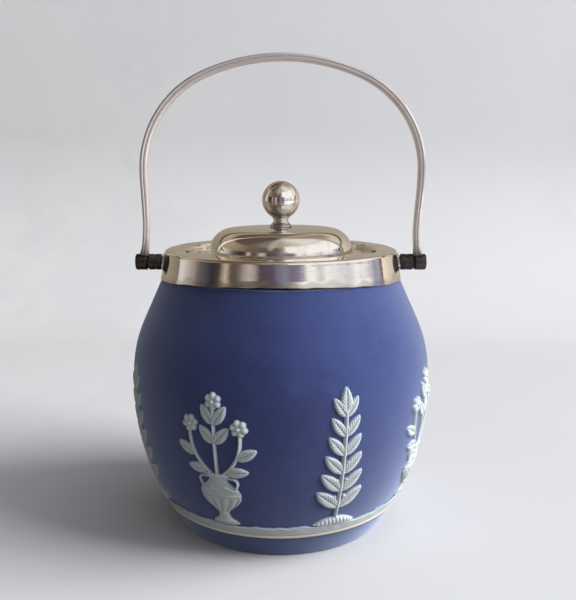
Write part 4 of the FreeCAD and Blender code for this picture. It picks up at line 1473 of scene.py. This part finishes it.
@dataclass
class Pivots:
    """Lugs, washers, pins and eyes at both sides."""

    height: float = 117.7
    barrel: float = 3.6
    lug_start: float = 54.0
    lug_end: float = 59.7
    neck: float = 2.9
    neck_start: float = 53.42
    washer: float = 2.9
    washer_thickness: float = 0.5
    gap: float = 0.05
    eye_length: float = 5.2
    pin: float = 1.5
    pin_head: float = 2.4
    head_depth: float = 1.0
    head_clearance: float = 0.3
    running: float = 0.08

    def build(self, frame: dict, dark: Material, silver: Material) -> None:
        """Turn each part of both pivots about the pivot line.

        Args:
            frame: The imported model.
            dark: The tarnished plate's material.
            silver: The pads' material.
        """
        eye_start = self.lug_end + self.washer_thickness + 2 * self.gap
        eye_end = eye_start + self.eye_length
        bore = self.pin + self.running
        mouth = self.pin_head + self.head_clearance
        seat_depth = self.head_depth + self.head_clearance
        middle = (self.lug_start + self.lug_end) / 2
        groove = self.barrel - 0.22
        lug = rounded_path([
            (self.pin + 0.01, self.neck_start, 0.05), (self.neck, self.neck_start, 0.1),
            (self.neck, self.lug_start, 0.2),
            (self.barrel, self.lug_start, 0.45), (self.barrel, middle - 0.5, 0.15),
            (groove, middle - 0.2, 0.1),
            (groove, middle + 0.2, 0.1), (self.barrel, middle + 0.5, 0.15),
            (self.barrel, self.lug_end, 0.5), (self.pin + 0.01, self.lug_end, 0.1)], True, 0.7)
        eye = rounded_path([
            (bore, eye_start, 0.1), (self.barrel, eye_start, 0.5), (self.barrel, eye_end, 0.6),
            (mouth, eye_end, 0.2), (mouth, eye_end - seat_depth, 0.1),
            (bore, eye_end - seat_depth, 0.1)], True, 0.6)
        pin = rounded_path([
            (0, self.lug_end - 4.0, 0), (self.pin, self.lug_end - 4.0, 0.2),
            (self.pin, eye_end - self.head_depth, 0.05),
            (self.pin_head, eye_end - self.head_depth, 0.15), (self.pin_head, eye_end - 0.02, 0.7),
            (0, eye_end - 0.02, 0)], False, 0.5)
        washer_start = self.lug_end + self.gap
        washer = rounded_path([
            (bore, washer_start, 0.1), (self.washer, washer_start, 0.15),
            (self.washer, washer_start + self.washer_thickness, 0.15),
            (bore, washer_start + self.washer_thickness, 0.1)], True, 0.4)
        parts = {"lug": (lug, True, Body.JAR), "bail_eye": (eye, True, Body.BAIL),
                 "pivot_pin": (pin, False, Body.JAR),
                 "pivot_washer": (washer, True, Body.JAR)}
        for side, sign in SIDES.items():
            for name, (outline, closed, body) in parts.items():
                piece = across_piece(f"{name}_turned_{side}", outline, sign, self.height, closed)
                seat(piece, body, [f"{name}_{side}"], dark)
            dress(frame, f"lug_pad_{side}", silver)


# Floor, light and camera


@dataclass
class Studio:
    """Pale sweep, soft light and the camera."""

    focal_pixels: float = 737.5
    frame_height_pixels: float = 600.0
    sensor: float = 36.0
    camera_place: Triple = (3.2, -332.3, 158.5)
    camera_drop_deg: float = 9.97
    sweep_back: float = 520.0
    sweep_front: float = -1100.0
    sweep_half: float = 1300.0
    sweep_height: float = 430.0
    sweep_corner: float = 200.0
    walls: Stops = (
        (-180.0, (206, 200, 186)), (180.0, (208, 202, 192)), (-130.0, (209, 207, 208)),
        (-106.0, (212, 206, 204)), (-94.0, (178, 167, 161)), (-87.0, (145, 134, 129)), (-82.0, (99, 94, 93)),
        (-67.0, (51, 48, 54)), (-59.0, (70, 60, 59)), (-52.0, (195, 178, 162)), (-46.0, (91, 81, 77)),
        (-39.0, (94, 84, 80)), (-30.0, (191, 179, 175)), (-25.5, (167, 157, 150)), (-20.0, (81, 69, 76)),
        (-8.0, (91, 80, 96)), (-4.0, (110, 106, 128)), (4.0, (127, 130, 150)), (11.0, (119, 112, 128)),
        (18.0, (127, 121, 137)), (23.0, (170, 164, 179)), (26.0, (250, 250, 250)), (31.0, (250, 250, 250)),
        (36.0, (208, 203, 213)), (44.0, (250, 250, 250)), (68.0, (216, 214, 224)), (77.0, (250, 250, 250)),
        (90.0, (242, 240, 244)), (98.0, (178, 181, 206)), (108.0, (166, 168, 196)), (112.0, (110, 89, 74)),
        (133.0, (218, 212, 202)))
    middle: Stops = (
        (-180.0, (182, 168, 144)), (180.0, (182, 168, 144)), (-120.0, (164, 152, 128)),
        (-100.0, (162, 146, 124)),
        (-78.0, (140, 126, 106)), (-56.0, (108, 94, 80)), (-20.0, (98, 86, 76)), (-4.0, (108, 96, 86)),
        (8.0, (184, 170, 154)), (20.0, (238, 234, 226)), (112.0, (240, 236, 230)), (124.0, (214, 204, 192)),
        (150.0, (196, 184, 168)))
    upper: Stops = (
        (-180.0, (112, 100, 88)), (180.0, (112, 100, 88)), (-130.0, (84, 74, 60)), (-70.0, (92, 82, 70)),
        (-30.0, (134, 128, 122)), (0.0, (164, 158, 152)), (30.0, (206, 200, 194)), (60.0, (228, 224, 220)),
        (110.0, (224, 220, 216)), (130.0, (160, 148, 134)))

    def build(self, shop: Workshop) -> None:
        """Set up the floor, the light and the camera.

        Args:
            shop: Where the shared effects are kept.
        """
        self.sweep(shop)
        self.light()
        self.camera()

    def sweep(self, shop: Workshop) -> None:
        """Floor that curves up into a backdrop: a profile carried along X."""
        profile = rounded_path([(self.sweep_front, 0, 0), (self.sweep_back, 0, self.sweep_corner),
                                (self.sweep_back, self.sweep_height, 0)], False, 60.0)
        across = np.linspace(-self.sweep_half, self.sweep_half, 30)
        points = np.stack([np.repeat(across[:, None], len(profile), 1), np.repeat(profile[None, :, 0], 30, 0),
                           np.repeat(profile[None, :, 1], 30, 0)], axis=2)
        faces = grid_faces(30, len(profile), False, False)
        mesh = bpy.data.meshes.new("studio_sweep")
        mesh.from_pydata((points.reshape(-1, 3) * MM).tolist(), [], faces[:, ::-1].tolist())
        mesh.polygons.foreach_set("use_smooth", np.ones(len(mesh.polygons), bool))
        sweep = bpy.data.objects.new("studio_sweep", mesh)
        bpy.context.collection.objects.link(sweep)
        material, nodes, shader = shop.start("studio_paper")
        grain = shop.effect(nodes, "patina", scale=6.0, threshold=0.5)
        place = nodes.add("ShaderNodeSeparateXYZ", {0: nodes.add("ShaderNodeTexCoord").outputs["Object"]})
        # painted shade: camera rays see the sweep darker towards the right, to hold down the window light
        # there
        tone = nodes.mix(nodes.remap(place.outputs["X"], -0.4, 0.5), colour(222, 222, 223),
                         colour(186, 187, 190))
        tone = nodes.mix(nodes.times(grain.outputs["Mask"], 0.3), tone, colour(200, 201, 203))
        # painted shade: further right the sweep is darker still
        tone = nodes.mix(nodes.remap(place.outputs["X"], 0.25, 1.1), tone, colour(104, 105, 107))
        rays = nodes.add("ShaderNodeLightPath").outputs
        # painted shade: rays that bounce onto the jar see the sweep dark on the left, so the jar's left side
        # falls darker
        bounce = nodes.mix(nodes.remap(place.outputs["X"], -0.25, 0.4), colour(122, 120, 118),
                           colour(186, 187, 190))
        tone = nodes.mix(rays["Is Camera Ray"], bounce, tone)
        # painted reflection: glossy rays see a beige cloth near the jar and the room's walls further off,
        # which the camera does not see
        painted_reflection = nodes.mix(nodes.remap(place.outputs["X"], -0.35, 0.35), colour(168, 157, 138),
                          colour(160, 151, 138))
        ahead = nodes.times(place.outputs["Y"], -1.0)
        bearing = nodes.maths("ARCTAN2", place.outputs["X"], ahead)
        share = nodes.plus(nodes.times(bearing, 0.5 / math.pi), 0.5)
        near = nodes.remap(ahead, 0.06, 0.2, 0.0, 0.85)
        painted_reflection = nodes.mix(near, painted_reflection, self.ramp(nodes, share, self.walls))
        tone = nodes.mix(rays["Is Glossy Ray"], tone, painted_reflection)
        nodes.tree.links.new(tone, shader.inputs["Base Color"])
        shader.inputs["Roughness"].default_value = 0.9
        shader.inputs["Specular IOR Level"].default_value = 0.1
        mesh.materials.append(material)

    def light(self) -> None:
        """A broad window light from the right and the front, a weak fill, and a room-like world."""
        scene = bpy.context.scene
        scene.view_settings.view_transform = "Standard"
        world = bpy.data.worlds.new("studio_world")
        world.use_nodes = True
        world.node_tree.nodes.clear()
        nodes = Nodes(world.node_tree)
        glossy = nodes.add("ShaderNodeLightPath").outputs["Is Glossy Ray"]
        seen = nodes.add("ShaderNodeLightPath").outputs["Is Camera Ray"]
        direction = nodes.add("ShaderNodeTexCoord").outputs["Generated"]
        rightward = nodes.add("ShaderNodeSeparateXYZ", {0: direction}).outputs["X"]
        soft = nodes.mix(nodes.remap(rightward, -0.4, 0.9), colour(94, 91, 90), colour(238, 243, 255))
        tone = nodes.mix(glossy, soft, self.room(nodes))
        tone = nodes.mix(seen, tone, colour(236, 237, 240))
        background = nodes.add("ShaderNodeBackground", {"Color": tone, "Strength": 1.0})
        nodes.add("ShaderNodeOutputWorld", {"Surface": background.outputs[0]})
        scene.world = world
        self.area("window_light", (1770, -300, 1050), (0, 0, 80), (1400, 1500), 80.0, (1.0, 0.99, 0.98))
        self.area("left_fill", (-1300, -1200, 900), (0, 0, 80), (1200, 1200), 2.2, (1.0, 0.96, 0.92))

    def room(self, nodes: Nodes) -> Socket:
        """The room that the metal reflects: walls by bearing, windows, a ceiling and dark trim.

        The bearing is atan2(x, -y), nought to the front and growing to the right; its walls' colours
        come from a ramp. The ceiling starts where the direction's z passes a limit.

        Args:
            nodes: The world's nodes.

        Returns:
            The room's colour.
        """
        direction = nodes.add("ShaderNodeTexCoord").outputs["Generated"]
        parts = nodes.add("ShaderNodeSeparateXYZ", {0: direction})
        height = parts.outputs["Z"]
        ahead = nodes.times(parts.outputs["Y"], -1.0)
        bearing = nodes.maths("ARCTAN2", parts.outputs["X"], ahead)
        wander = nodes.times(nodes.maths("SUBTRACT", nodes.noise(direction, 7.0, 3.0, 0.6), 0.5), 0.1)
        share = nodes.plus(nodes.times(nodes.plus(bearing, wander), 0.5 / math.pi), 0.5)
        walls, middle, upper = (self.ramp(nodes, share, stops)
                                for stops in (self.walls, self.middle, self.upper))
        tone = nodes.mix(nodes.remap(height, 0.24, 0.32), walls, middle)
        tone = nodes.mix(nodes.remap(height, 0.6, 0.74), tone, upper)
        beam = nodes.plus(nodes.times(parts.outputs["X"], 1.3), nodes.times(ahead, 0.45))
        beam = nodes.times(nodes.remap(beam, -0.12, 0.0), nodes.remap(beam, 0.16, 0.08))
        beam = nodes.times(beam, nodes.remap(height, 0.4, 0.6))
        tone = nodes.mix(nodes.times(beam, 0.6), tone, colour(190, 182, 170))
        start = nodes.remap(height, 0.28, 0.42, 0.38, 0.12)
        opened = nodes.remap(nodes.maths("SUBTRACT", bearing, start), 0.0, 0.05)
        window = nodes.times(opened, nodes.remap(bearing, 1.95, 1.86))
        top = nodes.plus(height, nodes.times(wander, 0.5))
        window = nodes.times(window, nodes.remap(top, 0.8, 0.7))
        clutter = nodes.remap(nodes.noise(direction, 9.0, 3.0, 0.7), 0.45, 0.6)
        sill = nodes.times(nodes.times(window, nodes.remap(height, 0.14, 0.02)), clutter)
        window = nodes.times(window, nodes.remap(height, 0.24, 0.32))
        tone = nodes.mix(window, tone, (1.0, 1.0, 0.99, 1.0))
        tone = nodes.mix(nodes.times(sill, 0.8), tone, colour(140, 132, 132))
        ratio = nodes.maths("DIVIDE", height, nodes.maths("MAXIMUM", parts.outputs["Y"], 0.02))
        trim = nodes.times(nodes.remap(parts.outputs["Y"], 0.1, 0.2), nodes.remap(ratio, 0.74, 0.68))
        trim = nodes.times(trim, nodes.remap(height, 0.1, 0.16))
        return nodes.mix(nodes.times(trim, 0.85), tone, colour(66, 54, 44))

    @staticmethod
    def ramp(nodes: Nodes, share: Socket,
             stops: Stops) -> Socket:
        """Colours by bearing.

        Args:
            nodes: The world's nodes.
            share: The bearing as a share of the whole turn, from behind on the left.
            stops: Bearings in degrees and their display colours; the first two are the ramp's ends.

        Returns:
            The ramp's colour.
        """
        ramp = nodes.add("ShaderNodeValToRGB", {"Fac": share})
        elements = ramp.color_ramp.elements
        for number, (degrees, tone) in enumerate(stops):
            place = 0.5 + degrees / 360
            element = elements[number] if number < 2 else elements.new(place)
            element.position = place
            element.color = colour(*tone)
        return ramp.outputs["Color"]

    @staticmethod
    def area(name: str, place: Triple, target: Triple, size: Pair, watts: float, tint: Triple) -> None:
        """One soft rectangular lamp, aimed at a target and unseen by the metal.

        Args:
            name: The lamp's name.
            place: Where it hangs.
            target: What it is aimed at.
            size: Its width and height.
            watts: Its power.
            tint: Its colour.
        """
        lamp = bpy.data.lights.new(name, "AREA")
        lamp.shape = "RECTANGLE"
        lamp.size, lamp.size_y = size[0] * MM, size[1] * MM
        lamp.energy = watts
        lamp.color = tint
        holder = bpy.data.objects.new(name, lamp)
        bpy.context.collection.objects.link(holder)
        gap = np.subtract(target, place)
        holder.location = [value * MM for value in place]
        holder.visible_glossy = False
        flat = math.hypot(gap[0], gap[1])
        holder.rotation_euler = (math.atan2(flat, -gap[2]), 0.0, math.atan2(gap[1], gap[0]) - math.pi / 2)

    def camera(self) -> None:
        """Camera at the photograph's place, looking along +Y and a little down."""
        data = bpy.data.cameras.new("photo_camera")
        data.sensor_fit = "VERTICAL"
        data.sensor_height = self.sensor
        data.lens = self.focal_pixels * self.sensor / self.frame_height_pixels
        data.clip_start = 0.01
        holder = bpy.data.objects.new("photo_camera", data)
        bpy.context.collection.objects.link(holder)
        holder.location = [value * MM for value in self.camera_place]
        holder.rotation_euler = (math.radians(90 - self.camera_drop_deg), 0.0, 0.0)
        bpy.context.scene.camera = holder


def main(frame: dict) -> None:
    """Build every sub-assembly in order.

    Args:
        frame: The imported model.
    """
    shop = Workshop(build_effects())
    blue = Stoneware("blue_stoneware", (46, 58, 109), (40, 51, 99), (64, 77, 124), 0.52, 0.35, 0.95,
                     (206, 222, 255), 0.35).make(shop)
    cream = Stoneware("cream_line", (226, 221, 202), (210, 203, 182), (235, 232, 220), 0.6, 0.3).make(shop)
    white = ReliefWhite().make(shop)
    silver = Plate("silver_plate").make(shop)
    bail_silver = Plate("silver_bail", (246, 238, 232), (172, 152, 140), 0.56, 0.4, 0.1, 0.24,
                        metal=0.62).make(shop)
    dark = Plate("tarnished_plate", (92, 86, 86), (50, 45, 46), 0.5, 0.8, 0.3, 0.5).make(shop)
    brass = Plate("brass_fixing", (190, 160, 104), (110, 86, 52), 0.5, 0.7, 0.25, 0.4).make(shop)
    plaster = Stoneware("plaster", (196, 190, 178), (170, 160, 146), (216, 212, 204), 0.85, 0.8).make(shop)
    curve = BarrelCurve()
    Pot(curve).build(blue)
    FootTrim(curve).build(cream, white)
    Relief(curve).build(white)
    Collar(curve).build(frame, silver, plaster)
    Lid().build(silver)
    Knob().build(frame, silver, brass)
    Bail().build(bail_silver)
    Pivots().build(frame, dark, silver)
    Studio().build(shop)


if __name__ == "__main__":
    logging.basicConfig(level=logging.INFO, format="%(message)s")
    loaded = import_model()
    main(loaded)
